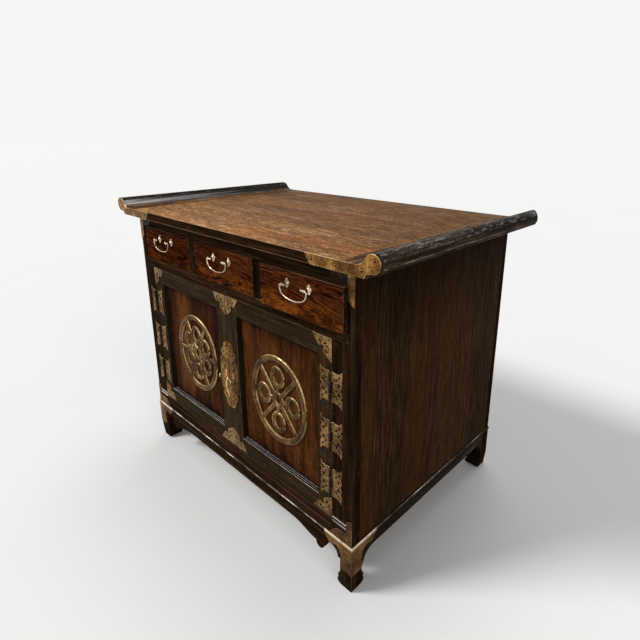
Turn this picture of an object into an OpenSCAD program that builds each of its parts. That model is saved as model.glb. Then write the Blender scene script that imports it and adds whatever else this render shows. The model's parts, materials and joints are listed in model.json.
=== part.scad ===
// Low cabinet with three drawers over two panelled doors, on a separate base with hoof feet.
// The top board ends in upturned, rolled flanges, and aged brass mounts cover its corners.
// Sizes are in millimetres. The origin is on the floor at the centre of the overall box.
// +X runs to the right as seen from the front, the front faces -Y, and +Z is up.

/* [Case] */
// Width of the case over its side panels
case_w = 835; // [740:5:960]
// Depth of the case
case_d = 602; // [560:2:700]
// Height of the case between the base and the top board
case_h = 603; // [590:1:700]
// Thickness of the side panels and width of the corner posts
side_t = 16; // [14:1:24]
// Thickness of the back panel
back_t = 8; // [4:1:12]
// How far the back panel lies in from the rear of the posts
back_inset = 4; // [0:1:8]
// Depth of the corner posts on the sides
post_d = 24; // [20:1:36]

/* [Top] */
// How far the rolled ends reach beyond the case on each side
end_reach = 82.5; // [60:0.5:110]
// Thickness of the top board
top_t = 21; // [16:1:30]
// How far the top stands out in front of the case
top_over = 25; // [10:1:60]
// Distance of the joint between the board and an end flange in from the side of the case
joint_in = 13.5; // [8:0.5:60]
// Radius of the roll at the end of a flange
roll_r = 18.5; // [12:0.5:22]
// Height of the roll's centre above the top surface
roll_up = 6.5; // [4:0.5:12]
// Distance from the flange joint to where the upward curve begins
curve_start = 32; // [8:1:40]
// How much of the rear corner of each flange is cut off at an angle
rear_cut = 28; // [0:1:40]
// Reach of the brass strap along the front of the board, in from that joint
strap_reach = 91; // [40:1:140]
// Radius of the two grooves that run along each roll
roll_groove_r = 1.8; // [1:0.1:3]

/* [Front frame] */
// Height of the rail under the top
top_rail_h = 30; // [20:1:50]
// Height of the drawer openings
drawer_open_h = 93; // [70:1:140]
// Height of the rail between the drawers and the doors
mid_rail_h = 21; // [16:1:30]
// Height of the rail under the doors
bottom_rail_h = 39; // [24:1:60]
// Thickness of the rails, back from the front
rail_t = 24; // [18:1:30]
// Width of the dividers between the drawers
divider_w = 36; // [20:1:50]
// How far the dividers lie behind the face of the rails
divider_sink = 4; // [0:1:8]
// Width of the jambs that carry the hinges
jamb_w = 40; // [34:1:60]
// Radius of the bead along the top of the bottom rail
rail_bead_r = 4; // [3:0.5:6]
// How far that bead stands out of the rail
rail_bead_out = 2; // [1:0.5:2.5]
// Height of the flat rib on the bottom rail
rib_h = 10; // [4:1:14]
// Height of that rib's lower side above the base
rib_up = 9; // [4:1:14]
// How far that rib stands out of the rail
rib_out = 1.5; // [0.5:0.5:3]

/* [Drawers] */
// Gap all round a drawer front
drawer_gap = 1.2; // [0.5:0.1:3]
// Thickness of a drawer front
drawer_front_t = 20; // [14:1:26]
// Thickness of the drawer sides and back
drawer_side_t = 10; // [6:1:14]
// Thickness of the drawer bottom
drawer_bottom_t = 6; // [3:0.5:10]
// Room left behind a shut drawer
drawer_room = 37; // [20:1:120]
// How far a shut drawer's face lies behind the face of the rails
drawer_sink = 3; // [0:1:10]
// How far the left drawer stands open
left_out = 0; // [0:1:40]
// How far the middle drawer stands open
middle_out = 6; // [0:1:40]
// How far the right drawer stands open
right_out = 15; // [0:1:40]
// Width of a runner under the drawer side
runner_w = 20; // [12:1:30]
// Height of a runner
runner_h = 6; // [3:1:10]
// Running clearance at drawer sides and runners
slide_gap = 0.3; // [0.2:0.1:1]

/* [Drawer pulls] */
// Distance between the two posts of a pull
pull_centres = 64; // [48:1:96]
// Height of the posts' axis above the middle of the drawer front
pull_up = 20; // [0:1:26]
// Radius of the bail's wire
bail_r = 1.9; // [1.4:0.1:2.4]
// Drop of the bail below its pivot
bail_drop = 27; // [24:1:36]
// Distance of the pivot in front of the drawer
pivot_out = 14; // [12:0.5:14.5]
// Overall projection of a post from the drawer
post_out = 18.5; // [17:0.5:24]
// Radial play of the bail in its posts
bail_play = 0.08; // [0.02:0.01:0.1]

/* [Doors] */
// Gap between a door and the frame round it
door_gap = 1; // [0.5:0.1:3]
// Thickness of the door frame
door_t = 22; // [18:1:28]
// Width of the stile on the hinge side
hinge_stile_w = 41; // [34:1:60]
// Width of the stile on the meeting side
meeting_stile_w = 40; // [38:1:60]
// Height of the door's top rail
door_top_h = 42; // [30:1:60]
// Height of the door's bottom rail
door_bottom_h = 37; // [28:1:60]
// Thickness of the door panel
panel_t = 8; // [5:1:10]
// Number of steps in the moulding round a panel
mould_steps = 3; // [2:1:4]
// Width and depth of one step of the moulding
mould_step = [2.6, 3.2]; // [2:0.1:6]

/* [Roundels] */
// Half of the height of the carved roundel
roundel_r = 111; // [84:1:114]
// Half of the width of the carved roundel
roundel_half_w = 97; // [80:1:114]
// Width of the roundel's rim
rim_w = 17; // [8:1:22]
// Height of the carving above the panel
carve_h = 7; // [4:0.5:9]
// Width of the two steps at each side of the rim
rim_step = [1.8, 2.6]; // [0.5:0.1:4]
// Width of the carved bars
bar_w = 9; // [6:0.5:12]
// How much narrower the upper level of the bars is
bar_shoulder = 3.5; // [1:0.5:5]
// How far the bars run into the rim
bar_sink = 3; // [1:0.5:6]
// Height of the roundels' centre above the middle of the panels
roundel_up = -1; // [-16:1:16]
// How far the left roundel lies from the middle of its panel towards the middle of the case
left_shift = 14; // [0:1:20]

/* [Hinges] */
// Length of a hinge barrel
barrel_len = 68; // [50:1:90]
// Radius of a hinge barrel
barrel_r = 3.5; // [2.8:0.1:5]
// Radius of a hinge pin
pin_r = 1.6; // [1:0.1:2.2]
// Radial play of the pin in the door's knuckle
pin_play = 0.05; // [0.02:0.01:0.1]
// Width of a hinge leaf from the barrel's axis
leaf_w = 30; // [24:1:34]
// Thickness of a hinge leaf
leaf_t = 1.6; // [1:0.1:2.5]
// Distance between neighbouring hinges
hinge_pitch = 111.5; // [95:0.5:130]

/* [Brass plates] */
// Reach of the brass angles of the posts along the rails, beyond the posts
angle_reach = 46; // [30:1:60]
// Reach of those angles along the posts
angle_h = 63; // [50:1:80]
// Thickness of the flat brass plates
plate_t = 1.2; // [0.8:0.1:2]
// Height of the divided plate over the meeting of the doors
lock_h = 182; // [140:1:240]
// Half of that plate's width
lock_half_w = 37; // [32:1:44]
// Height of the eyes on that plate, above the middle of the door
eye_up = -4; // [-20:1:20]
// Distance of the eyes from the meeting of the doors
eye_x = 16; // [12:1:24]
// Projection of an eye from the plate
eye_out = 20; // [16:1:26]
// Radius of the eyes' wire
eye_wire_r = 1.5; // [1.2:0.1:1.8]
// Height of the opening in an eye
eye_gap = 6; // [5:0.5:9]
// Length of the drop ring
ring_len = 45; // [36:1:60]
// Half of the drop ring's width
ring_half_w = 10; // [8:0.5:13]
// Radius of the drop ring's wire
ring_wire_r = 1.8; // [1.4:0.1:2.2]

/* [Base] */
// Height of the base
base_h = 126; // [110:1:180]
// How far the base stands out round the case
base_out = 1.5; // [0:0.1:6]
// Thickness of the aprons
apron_t = 20; // [16:1:26]
// Height of the aprons
apron_h = 38; // [34:1:60]
// Width of a leg on the front and on the sides
leg_w = 34; // [30:1:44]
// Radius of the bead along the top of the base
bead_r = 6; // [4:0.5:8]
// How far that bead stands out of the aprons
bead_out = 2; // [1:0.5:3.5]
// Distance of that bead's upper side below the top of the base
bead_down = 0.5; // [0.2:0.1:4]
// Reach of a corner brass along the base
corner_reach = 80; // [60:1:110]
// Height of the foot that the corner brass leaves bare
hoof_h = 50; // [40:1:60]

/* [Inside] */
// Height of the guides beside the drawers above their runners
guide_h = 20; // [10:1:40]
// Gap between a guide and the drawer beside it
guide_gap = 1; // [0.5:0.1:3]
// Width of a door catch
catch_w = 42; // [30:1:60]
// Depth of the part of a catch behind the rail
catch_d = 14; // [8:1:30]
// How far a catch reaches down behind its door
catch_down = 9; // [5:1:20]
// Distance of a catch from the meeting of the doors
catch_x = 40; // [10:1:120]
// Thickness of the cupboard floor
floor_t = 15; // [10:1:20]
// Thickness of the panel under the drawers
dust_t = 10; // [6:1:14]
// Thickness of the shelf
shelf_t = 15; // [10:1:20]
// Height of the shelf's top above the cupboard floor
shelf_up = 215; // [120:1:320]
// Distance of the shelf behind the doors
shelf_back = 40; // [10:1:120]
// Side of the square strips that carry the shelf
cleat = 15; // [10:1:24]

/* [Hidden] */

ebony = "#241c17";
rosewood = "#4a2413";
door_wood = "#3f2114";
top_wood = "#5a4130";
pine = "#9a7b55";
old_brass = "#7d6233";
bright_brass = "#d8c9a8";

// Glue line left between pieces of one node that meet end to end
seam = 0.1;

// The pull of the drawer that stands open furthest can reach beyond the top
pull_reach = max(left_out, middle_out, right_out) - drawer_sink + post_out;
total_d = case_d + max(top_over, pull_reach);
y_back = total_d / 2;
y_front = y_back - case_d;
y_top = y_front - top_over;
y_inner_back = y_back - back_inset - back_t;
half_w = case_w / 2;
half_in = half_w - side_t;
half_top = half_w + end_reach;
joint_x = half_w - joint_in;

z_case = base_h;
z_case_top = base_h + case_h;
z_top = z_case_top + top_t;
z_sill = z_case + bottom_rail_h;
z_drawer_top = z_case_top - top_rail_h;
z_drawer_low = z_drawer_top - drawer_open_h;
z_lintel = z_drawer_low - mid_rail_h;

// Drawers
bay_w = (2 * half_in - 2 * divider_w) / 3;
drawer_x = bay_w + divider_w;
drawer_len = y_inner_back - y_front - drawer_sink - drawer_front_t - drawer_room;
z_runner = z_drawer_low - (mid_rail_h - dust_t) / 2 + runner_h;
z_dust = z_runner - runner_h;
z_box = z_runner + slide_gap;
box_h = z_drawer_top - z_box - 8;
box_half = bay_w / 2 - 1.2;
z_pull = z_drawer_low + drawer_open_h / 2 + pull_up;

// Doors
door_half_x = half_in - jamb_w - door_gap / 2;
z_door = z_sill + door_gap;
z_door_top = z_lintel - door_gap;
open_x0 = door_gap + meeting_stile_w;
open_x1 = door_half_x - hinge_stile_w;
open_z0 = z_door + door_bottom_h;
open_z1 = z_door_top - door_top_h;
y_panel = y_front + mould_steps * mould_step[1] + 0.4;
roundel_narrow = roundel_half_w / roundel_r;
roundel_x = (open_x0 + open_x1) / 2;
roundel_z = (open_z0 + open_z1) / 2 + roundel_up;

// Hinges
leaf_lift = 0.3;
axis_y = y_front - barrel_r - leaf_lift;
axis_x = door_half_x - 2.5;
hinge_mid = (z_door + z_door_top) / 2 - 6;
knuckle = barrel_len * 0.35;
knuckle_gap = 0.3;

// Eyes and drop ring
eye_z = (z_door + z_door_top) / 2 + eye_up;
eye_half = eye_gap / 2 + eye_wire_r;
eye_end = eye_out - eye_half - eye_wire_r;
// The ring hangs against the lower side of its eye
ring_z = eye_z - (eye_gap / 2 - ring_wire_r - 0.3);

// Base
y_base = y_front - base_out;
half_base = half_w + base_out;
z_apron = base_h - apron_h;
z_bead = base_h - bead_down - bead_r;

function arc(c, r, a0, a1, n) =
    [for (i = [0:n]) let (a = a0 + (a1 - a0) * i / n) c + r * [cos(a), sin(a)]];

module block(low, high) {
    translate(low) cube(high - low);
}

// Copies its children to the other side of the middle plane
module both_sides() {
    children();
    mirror([1, 0, 0]) children();
}

// A flat outline drawn in X and Z, standing out to the front from the plane at y
module on_front(y, t) {
    translate([0, y, 0]) rotate([90, 0, 0]) linear_extrude(t) children();
}

// A flat outline drawn in Y and Z, standing out to the right from the plane at x
module on_side(x, t) {
    translate([x, 0, 0]) rotate([90, 0, 90]) linear_extrude(t) children();
}

module tube_arc(bend_r, r, a0, a1) {
    rotate([0, 0, a0]) rotate_extrude(angle = a1 - a0, $fn = 96) translate([bend_r, 0]) circle(r, $fn = 32);
}

// An outline of n points in the roundel's proportions
function oval(r, n) = [for (i = [0:n - 1]) r * [roundel_narrow * cos(360 * i / n), sin(360 * i / n)]];

module oval_ring(r_out, r_in) {
    difference() {
        polygon(oval(r_out, 72));
        polygon(oval(r_in, 72));
    }
}

// Top board and its ends

// Section of an end flange, from the board to the roll, in X and Z. Its lower side starts
// at low_x, and its upper side follows a hollow curve that rises from the board into the roll.
module flange_outline(start_x, low_x, roll_x, r) {
    rise_x = joint_x + curve_start;
    lip = [roll_x - r * cos(40), z_top + roll_up + r * sin(40)];
    run = lip.x - rise_x;
    up = lip.y - z_top;
    hollow_r = (run * run + up * up) / (2 * up);
    difference() {
        polygon([[start_x, z_top], [low_x, z_case_top], [roll_x - r, z_case_top],
            [roll_x - r + 3, z_case_top + 7], [roll_x, z_top + roll_up - r + 1],
            [roll_x, z_top + roll_up], lip, [rise_x, z_top]]);
        translate([rise_x, z_top + hollow_r]) circle(hollow_r, $fn = 180);
    }
    translate([roll_x, z_top + roll_up]) circle(r, $fn = 64);
}

module top_panel() {
    color(top_wood) block([-joint_x, y_top + plate_t, z_case_top], [joint_x, y_back, z_top]);
}

// One groove runs inside the crest of each roll and one along its outer side
module top_end_flanges() {
    roll_x = half_top - roll_r;
    color(ebony) both_sides() difference() {
        on_front(y_back, y_back - y_top - plate_t) difference() {
            flange_outline(joint_x, joint_x, roll_x, roll_r);
            for (a = [122, -34]) translate([roll_x, z_top + roll_up] + roll_r * [cos(a), sin(a)])
                circle(roll_groove_r, $fn = 24);
        }
        translate([half_top, y_back, z_case_top - 5]) linear_extrude(top_t + 2 * roll_r + 10)
            polygon([[-rear_cut - 1, 1], [1, -rear_cut - 1], [1, 1]]);
    }
}

// Brass straps on the front edge of the top, up to the rolled ends
module top_corner_brasses() {
    start_x = joint_x - strap_reach;
    color(old_brass) both_sides() on_front(y_top + plate_t, plate_t)
        flange_outline(start_x, start_x + 14, half_top - roll_r - 5.5, roll_r - 1.2);
}

// Case

module side_panel() {
    block([half_in, y_front + post_d, z_case], [half_w, y_back - post_d, z_case_top]);
}

module side_panel_left() {
    color(ebony) mirror([1, 0, 0]) side_panel();
}

module side_panel_right() {
    color(ebony) side_panel();
}

module back_panel() {
    x = half_in;
    color(pine) block([-x, y_inner_back, z_case], [x, y_inner_back + back_t, z_case_top]);
}

module front_posts() {
    color(ebony) both_sides()
        block([half_in, y_front, z_case], [half_w, y_front + post_d, z_case_top]);
}

module rear_posts() {
    color(ebony) both_sides()
        block([half_in, y_back - post_d, z_case], [half_w, y_back, z_case_top]);
}

module top_rail() {
    color(ebony) block([-half_in, y_front, z_drawer_top], [half_in, y_front + rail_t, z_case_top]);
}

module middle_rail() {
    color(ebony) block([-half_in, y_front, z_lintel], [half_in, y_front + rail_t, z_drawer_low]);
}

// A bead that stands out of the plane at y, along X between two ends.
// Its flat back lies in the piece behind by sink.
module bead_along(x0, x1, y, z, r, out, sink) {
    turn = acos((out + sink - r) / r);
    translate([x0, 0, 0]) rotate([90, 0, 90]) linear_extrude(x1 - x0)
        polygon(arc([y - out + r, z], r, turn, 360 - turn, 16));
}

// The rail under the doors has a round bead at its top and a flat rib under it
module bottom_rail() {
    z_rib = z_case + rib_up;
    rib_x = half_in - angle_reach - 0.5;
    color(ebony) {
        block([-half_in, y_front, z_case], [half_in, y_front + rail_t, z_sill]);
        bead_along(-half_in, half_in, y_front, z_sill - 1 - rail_bead_r, rail_bead_r, rail_bead_out, 1);
        block([-rib_x, y_front - rib_out, z_rib], [rib_x, y_front + 1, z_rib + rib_h]);
    }
}

module hinge_jambs() {
    color(ebony) both_sides() {
        block([half_in - jamb_w, y_front, z_sill], [half_in, y_front + rail_t, z_lintel]);
        bead_along(half_in - jamb_w, half_in, y_front, z_sill + rail_bead_r, rail_bead_r, rail_bead_out, 1);
    }
}

module drawer_dividers() {
    x = bay_w / 2;
    color(ebony) both_sides()
        block([x, y_front + divider_sink, z_drawer_low], [x + divider_w, y_front + rail_t, z_drawer_top]);
}

// Two runners for each drawer, and guides that continue the dividers to the back
module drawer_runners() {
    y0 = y_front + rail_t;
    color(pine) {
        for (x = [-drawer_x, 0, drawer_x], s = [-1, 1]) {
            edge = x + s * (box_half - runner_w / 2);
            block([edge - runner_w / 2, y0, z_dust], [edge + runner_w / 2, y_inner_back, z_runner]);
        }
        gap = drawer_x - 2 * box_half;
        both_sides() block([drawer_x / 2 - gap / 2 + guide_gap, y0, z_dust],
            [drawer_x / 2 + gap / 2 - guide_gap, y_inner_back, z_runner + guide_h]);
    }
}

module dust_panel() {
    color(pine) block([-half_in, y_front + rail_t, z_dust - dust_t], [half_in, y_inner_back, z_dust]);
}

module cupboard_floor() {
    color(pine) block([-half_in, y_front + rail_t, z_sill - floor_t], [half_in, y_inner_back, z_sill]);
}

module shelf() {
    z = z_sill + shelf_up;
    x = half_in - slide_gap;
    color(pine) block([-x, y_front + door_t + shelf_back, z - shelf_t], [x, y_inner_back - slide_gap, z]);
}

module shelf_cleats() {
    z = z_sill + shelf_up - shelf_t;
    color(pine) both_sides() block([half_in - cleat, y_front + door_t + shelf_back, z - cleat],
        [half_in, y_inner_back, z]);
}

// A magnetic catch for each door, screwed under the dust panel
module door_catches() {
    y0 = y_front + door_t + 0.3;
    y1 = max(y0, y_front + rail_t);
    x = catch_x + catch_w;
    z = z_door_top - catch_down;
    color("dimgray") both_sides() {
        block([catch_x, y1, z], [x, y1 + catch_d, z_dust - dust_t]);
        block([catch_x, y0, z], [x, y1 + 1, z_lintel - 0.3]);
    }
}

// Base

// Outline of a leg with its inward hoof: X from the outer face inwards, Y up from the floor
module leg_outline() {
    polygon(concat([[0, base_h], [0, 40], [1.2, 24], [2.6, 10], [3, 0], [leg_w + 1, 0]],
        arc([leg_w + 1, 10], 9, -75, 55, 8),
        arc([leg_w + 16, 42], 16, 235, 180, 7),
        [[leg_w, base_h]]));
}

module leg() {
    intersection() {
        translate([half_base, leg_w + 40, 0]) mirror([1, 0, 0]) rotate([90, 0, 0])
            linear_extrude(leg_w + 60) leg_outline();
        translate([half_base - leg_w - 40, 0, 0]) rotate([90, 0, 90])
            linear_extrude(leg_w + 60) leg_outline();
    }
}

module base_legs() {
    color(ebony) both_sides() {
        translate([0, y_base, 0]) leg();
        translate([0, y_back, 0]) mirror([0, 1, 0]) leg();
    }
}

// Lower edge of the front apron from its middle to the leg: level, down into a lobe,
// and up into a small arch beside the leg
function apron_edge(half) =
    let (lobe = [half - 62, z_apron - 16], arch = [half - 27, z_apron - 12], n = 10)
    concat([[0, z_apron]],
        [for (i = [0:n]) [lobe.x - 90 + 78 * i / n,
            z_apron + (lobe.y + 2 - z_apron) * (1 - cos(180 * i / n)) / 2]],
        arc(lobe, 12, 180, 360, 14),
        arc(arch, 20, 180, 0, 14),
        [[half, z_apron - 14]]);

// Lower edge of a side or rear apron: level, with a hollow bracket at the leg
function bracket_edge(half) =
    let (r = 34) concat([[0, z_apron]], arc([half - r - 4, z_apron - r], r, 90, 20, 10),
        [[half, z_apron - r - 2]]);

module apron_outline(edge, half) {
    mirrored = [for (i = [len(edge) - 1:-1:1]) [-edge[i].x, edge[i].y]];
    polygon(concat(mirrored, edge, [[half, base_h], [-half, base_h]]));
}

module base_front_apron() {
    half = half_base - leg_w;
    brass_x = half_base - corner_reach;
    color(ebony) {
        on_front(y_base + apron_t, apron_t) apron_outline(apron_edge(half), half);
        bead_along(-brass_x, brass_x, y_base, z_bead, bead_r, bead_out, bead_r - bead_out);
    }
}

module base_rear_apron() {
    half = half_base - leg_w;
    color(ebony) on_front(y_back, apron_t) apron_outline(bracket_edge(half), half);
}

// The bead runs on over the rear leg, where its flat back only touches the wood
module base_side_aprons() {
    y0 = y_base + leg_w;
    y1 = y_back - leg_w;
    mid = (y0 + y1) / 2;
    half = (y1 - y0) / 2;
    color(ebony) both_sides() {
        on_side(half_base - apron_t, apron_t) translate([mid, 0])
            apron_outline(bracket_edge(half), half);
        rotate([0, 0, 90]) {
            bead_along(y_base + corner_reach, y1, -half_base, z_bead, bead_r, bead_out, bead_r - bead_out);
            bead_along(y1 - bead_r, y_back, -half_base, z_bead, bead_r, bead_out, 0);
        }
    }
}

// Outline of one face of a corner brass: X inwards from the corner, Y up from the floor
module corner_brass_outline() {
    polygon(concat([[0, base_h], [0, hoof_h], [leg_w - 3, hoof_h]],
        arc([leg_w + 24, z_apron - 8], 27, 190, 120, 8),
        [[corner_reach - 14, z_apron + 10], [corner_reach, z_bead - bead_r], [corner_reach, base_h]]));
}

module base_corner_brasses() {
    color(old_brass) both_sides() {
        translate([half_base, y_base, 0]) mirror([1, 0, 0])
            on_front(0, plate_t) corner_brass_outline();
        translate([half_base, y_base, 0])
            on_side(0, plate_t) corner_brass_outline();
        block([half_base, y_base - plate_t, hoof_h], [half_base + plate_t, y_base, base_h]);
        bead_along(half_base - corner_reach, half_base + bead_out, y_base, z_bead, bead_r, bead_out, 0);
        rotate([0, 0, 90]) bead_along(y_base - bead_out, y_base + corner_reach, -half_base, z_bead,
            bead_r, bead_out, 0);
    }
}

// Brass angles on the front face of the corner posts, at their top and at their foot
module frame_corner_brasses() {
    w = side_t;
    end = w + angle_reach;
    color(old_brass) both_sides() {
        on_front(y_front, plate_t) translate([half_w, z_case_top - 8]) polygon([[0, 0],
            [0, -angle_h], [-w + 4, -angle_h + 9], [-w, -angle_h + 15], [-w, -19],
            [-end + 18, -17], [-end + 6, -13], [-end, 0]]);
        on_front(y_front, plate_t) translate([half_w, z_case + 0.5]) polygon([[0, 0],
            [0, angle_h - 3], [-4, angle_h], [-w, angle_h - 8], [-w, 24],
            [-end + 20, 22], [-end + 10, 14], [-end, 5], [-end, 0]]);
    }
}

// Doors: each is drawn on the right and mirrored for the left

module door_frame() {
    block([door_gap, y_front, z_door], [open_x0, y_front + door_t, z_door_top]);
    block([open_x1, y_front, z_door], [door_half_x, y_front + door_t, z_door_top]);
    block([open_x0 + seam, y_front, z_door], [open_x1 - seam, y_front + door_t, open_z0]);
    block([open_x0 + seam, y_front, open_z1], [open_x1 - seam, y_front + door_t, z_door_top]);
}

module door_panel() {
    block([open_x0, y_panel, open_z0], [open_x1, y_panel + panel_t, open_z1]);
}

// One mitred strip of the stepped moulding, from the corner a to the corner b.
// turn holds the signs of the inward directions at a and at b.
module mitred_strip(a, b, turn_a, turn_b) {
    along = (b - a) / norm(b - a) * seam;
    for (i = [0:mould_steps - 1]) {
        in0 = i * mould_step[0];
        in1 = in0 + mould_step[0];
        y = y_front + 0.4 + i * mould_step[1];
        on_front(y_panel, y_panel - y) polygon([a + along + turn_a * in0, b - along + turn_b * in0,
            b - along + turn_b * in1, a + along + turn_a * in1]);
    }
}

// Steps that lead down from the frame to the panel
module door_moulding() {
    c = [[open_x0, open_z0], [open_x1, open_z0], [open_x1, open_z1], [open_x0, open_z1]];
    turn = [[1, 1], [-1, 1], [-1, -1], [1, -1]];
    for (k = [0:3]) mitred_strip(c[k], c[(k + 1) % 4], turn[k], turn[(k + 1) % 4]);
}

// The rim rises in three steps to a rounded back
module rim() {
    for (k = [0:2]) {
        in = [0, rim_step[0], rim_step[0] + rim_step[1]][k];
        linear_extrude(carve_h * [0.55, 0.84, 1][k]) oval_ring(roundel_r - in, roundel_r - rim_w + in);
    }
}

// A ring of the ornament, centred at a distance out along the direction a
module petal(a, out, r, w) {
    translate([roundel_narrow * out * cos(a), out * sin(a)]) oval_ring(r + w / 2, r - w / 2);
}

// A straight bar of the ornament along the direction a
module bar(a, near, far, w) {
    p = [roundel_narrow * cos(a), sin(a)];
    side = [-p.y, p.x] / norm(p) * w / 2;
    polygon([p * near + side, p * near - side, p * far - side, p * far + side]);
}

// Ornament of the left roundel: a blossom of petals tied to the rim
module blossom(w) {
    hub = roundel_r * 0.15;
    petal(0, 0, hub, w);
    for (k = [0:5]) {
        petal(90 + 60 * k, roundel_r * 0.49, roundel_r * 0.19, w);
        bar(60 + 60 * k, hub, roundel_r - rim_w + bar_sink, w);
    }
}

// Ornament of the right roundel: four rings round a centre, tied to it and to the rim
module clover(w) {
    hub = roundel_r * 0.14;
    petal(0, 0, hub, w);
    for (k = [0:3]) {
        petal(90 * k, roundel_r * 0.52, roundel_r * 0.2, w);
        bar(90 * k, hub, roundel_r * 0.33, w);
        bar(45 + 90 * k, hub, roundel_r - rim_w + bar_sink, w);
    }
}

// Carving in two levels, so that its bars have sloping shoulders
module carved_roundel(x) {
    translate([x, y_panel, roundel_z]) rotate([90, 0, 0]) {
        rim();
        linear_extrude(carve_h * 0.6) children(0);
        linear_extrude(carve_h * 0.85) children(1);
    }
}

// A pointed oval piercing from a to b
module slit(a, b, w) {
    side = [b.y - a.y, a.x - b.x] / norm(b - a) * w / 2;
    polygon([for (i = [0:11]) let (t = i < 6 ? i / 6 : 2 - i / 6, s = i < 6 ? 1 : -1)
        a + (b - a) * t + side * s * sin(180 * t)]);
}

// Triangular corner plate with a lobed inner edge and piercings.
// The corner is at the origin and the plate runs a along -X and b along -Y.
module corner_plate(a, b) {
    lobe = a * 0.17;
    difference() {
        polygon(concat([[0, 0], [-a, 0], [-a * 0.93, -b * 0.11]],
            arc([-a * 0.64, -b * 0.26], lobe, 190, 320, 8),
            [[-a * 0.45, -b * 0.42]],
            arc([-a * 0.27, -b * 0.62], lobe, 130, 260, 8),
            [[-a * 0.11, -b * 0.93], [0, -b]]));
        slit([-a * 0.46, -b * 0.34], [-a * 0.2, -b * 0.24], 5);
        slit([-a * 0.34, -b * 0.46], [-a * 0.16, -b * 0.34], 4);
        translate([-a * 0.64, -b * 0.2]) circle(2.2, $fn = 24);
        translate([-a * 0.2, -b * 0.64]) circle(2.2, $fn = 24);
    }
}

module door_corner_plates() {
    on_front(y_front, plate_t) {
        translate([door_half_x - 1, z_door_top - 1]) corner_plate(52, 51);
        translate([door_half_x - 1, z_door + 1]) mirror([0, 1]) corner_plate(56, 50);
        translate([door_gap, z_door_top - 1]) mirror([1, 0]) corner_plate(51, 50);
        translate([door_gap, z_door + 1]) mirror([1, 0]) mirror([0, 1]) corner_plate(55, 50);
    }
}

// A hinge leaf: X out from the barrel's axis, Y up from the hinge's middle
module leaf_outline(start) {
    h = barrel_len / 2;
    tip = h + 8;
    difference() {
        polygon(concat([[start, -h], [start, h], [leaf_w * 0.55, h - 1], [leaf_w * 0.82, h + 1],
            [leaf_w, tip], [leaf_w + 1, h - 5]],
            arc([leaf_w + 2, h * 0.52], 4.5, 115, 245, 6),
            arc([leaf_w + 2, 0], 5.5, 115, 245, 6),
            arc([leaf_w + 2, -h * 0.52], 4.5, 115, 245, 6),
            [[leaf_w + 1, -h + 5], [leaf_w, -tip], [leaf_w * 0.82, -h - 1],
            [leaf_w * 0.55, -h + 1]]));
        for (s = [-1, 1]) {
            translate([leaf_w * 0.62, s * h * 0.36]) circle(2.4, $fn = 24);
            slit([leaf_w * 0.34, s * h * 0.16], [leaf_w * 0.66, s * h * 0.14], 3.6);
            slit([leaf_w * 0.66, s * h * 0.62], [leaf_w * 0.78, s * h * 0.88], 3.4);
        }
    }
}

module knuckle_tube(z, len, bore_r) {
    translate([0, 0, z]) difference() {
        cylinder(h = len, r = barrel_r, $fn = 48);
        translate([0, 0, -1]) cylinder(h = len + 2, r = bore_r, $fn = 48);
    }
}

module at_hinges() {
    for (k = [-1:1]) translate([axis_x, axis_y, hinge_mid + k * hinge_pitch]) children();
}

// Leaves on the door, with the middle knuckle of each hinge
module door_hinge_leaves() {
    clear = barrel_r + 0.4;
    at_hinges() {
        y0 = barrel_r + leaf_lift;
        translate([0, y0, 0]) rotate([90, 0, 0]) linear_extrude(leaf_t) mirror([1, 0]) leaf_outline(clear);
        difference() {
            block([-clear, y0 - leaf_t, -knuckle / 2], [0, y0, knuckle / 2]);
            translate([0, 0, -knuckle]) cylinder(h = 2 * knuckle, r = barrel_r - 1, $fn = 48);
        }
        knuckle_tube(-knuckle / 2, knuckle, pin_r + pin_play);
    }
}

// Leaves on the jambs, with the outer two knuckles of each hinge
module post_hinge_leaves() {
    clear = barrel_r + 0.4;
    outer = (barrel_len - knuckle) / 2 - knuckle_gap;
    at_hinges() {
        y0 = barrel_r + leaf_lift;
        translate([0, y0, 0]) rotate([90, 0, 0]) linear_extrude(leaf_t) leaf_outline(clear);
        for (s = [-1, 1]) {
            z0 = s > 0 ? barrel_len / 2 - outer : -barrel_len / 2;
            difference() {
                block([0, y0 - leaf_t - leaf_lift, z0], [clear, y0 - leaf_lift, z0 + outer]);
                translate([0, 0, z0 - 1]) cylinder(h = outer + 2, r = barrel_r - 1, $fn = 48);
            }
            knuckle_tube(z0, outer, pin_r);
        }
    }
}

module hinge_post_leaves() {
    color(old_brass) both_sides() post_hinge_leaves();
}

module hinge_pins() {
    color(bright_brass) both_sides() at_hinges()
        translate([0, 0, -barrel_len / 2]) cylinder(h = barrel_len, r = pin_r, $fn = 48);
}

// One half of the plate over the meeting of the doors: a lobed outline, pierced at both ends
module lock_outline() {
    h = lock_h / 2;
    w = lock_half_w;
    edge = concat([[0, h]],
        arc([w * 0.14, h * 0.84], h * 0.16, 90, -10, 8),
        arc([w * 0.5, h * 0.66], w * 0.3, 85, -45, 8),
        arc([w * 0.62, h * 0.36], w * 0.38, 75, 0, 6));
    difference() {
        polygon(concat(edge, [for (i = [len(edge) - 1:-1:0]) [edge[i].x, -edge[i].y]]));
        for (s = [-1, 1]) {
            translate([w * 0.52, s * h * 0.66]) circle(2.8, $fn = 24);
            slit([w * 0.14, s * h * 0.9], [w * 0.34, s * h * 0.8], 4);
            slit([w * 0.14, s * h * 0.66], [w * 0.28, s * h * 0.58], 4);
            slit([w * 0.62, s * h * 0.46], [w * 0.86, s * h * 0.34], 4);
        }
    }
}

module lock_plate() {
    on_front(y_front, plate_t) translate([door_gap, (z_door + z_door_top) / 2 - 5]) lock_outline();
}

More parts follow.
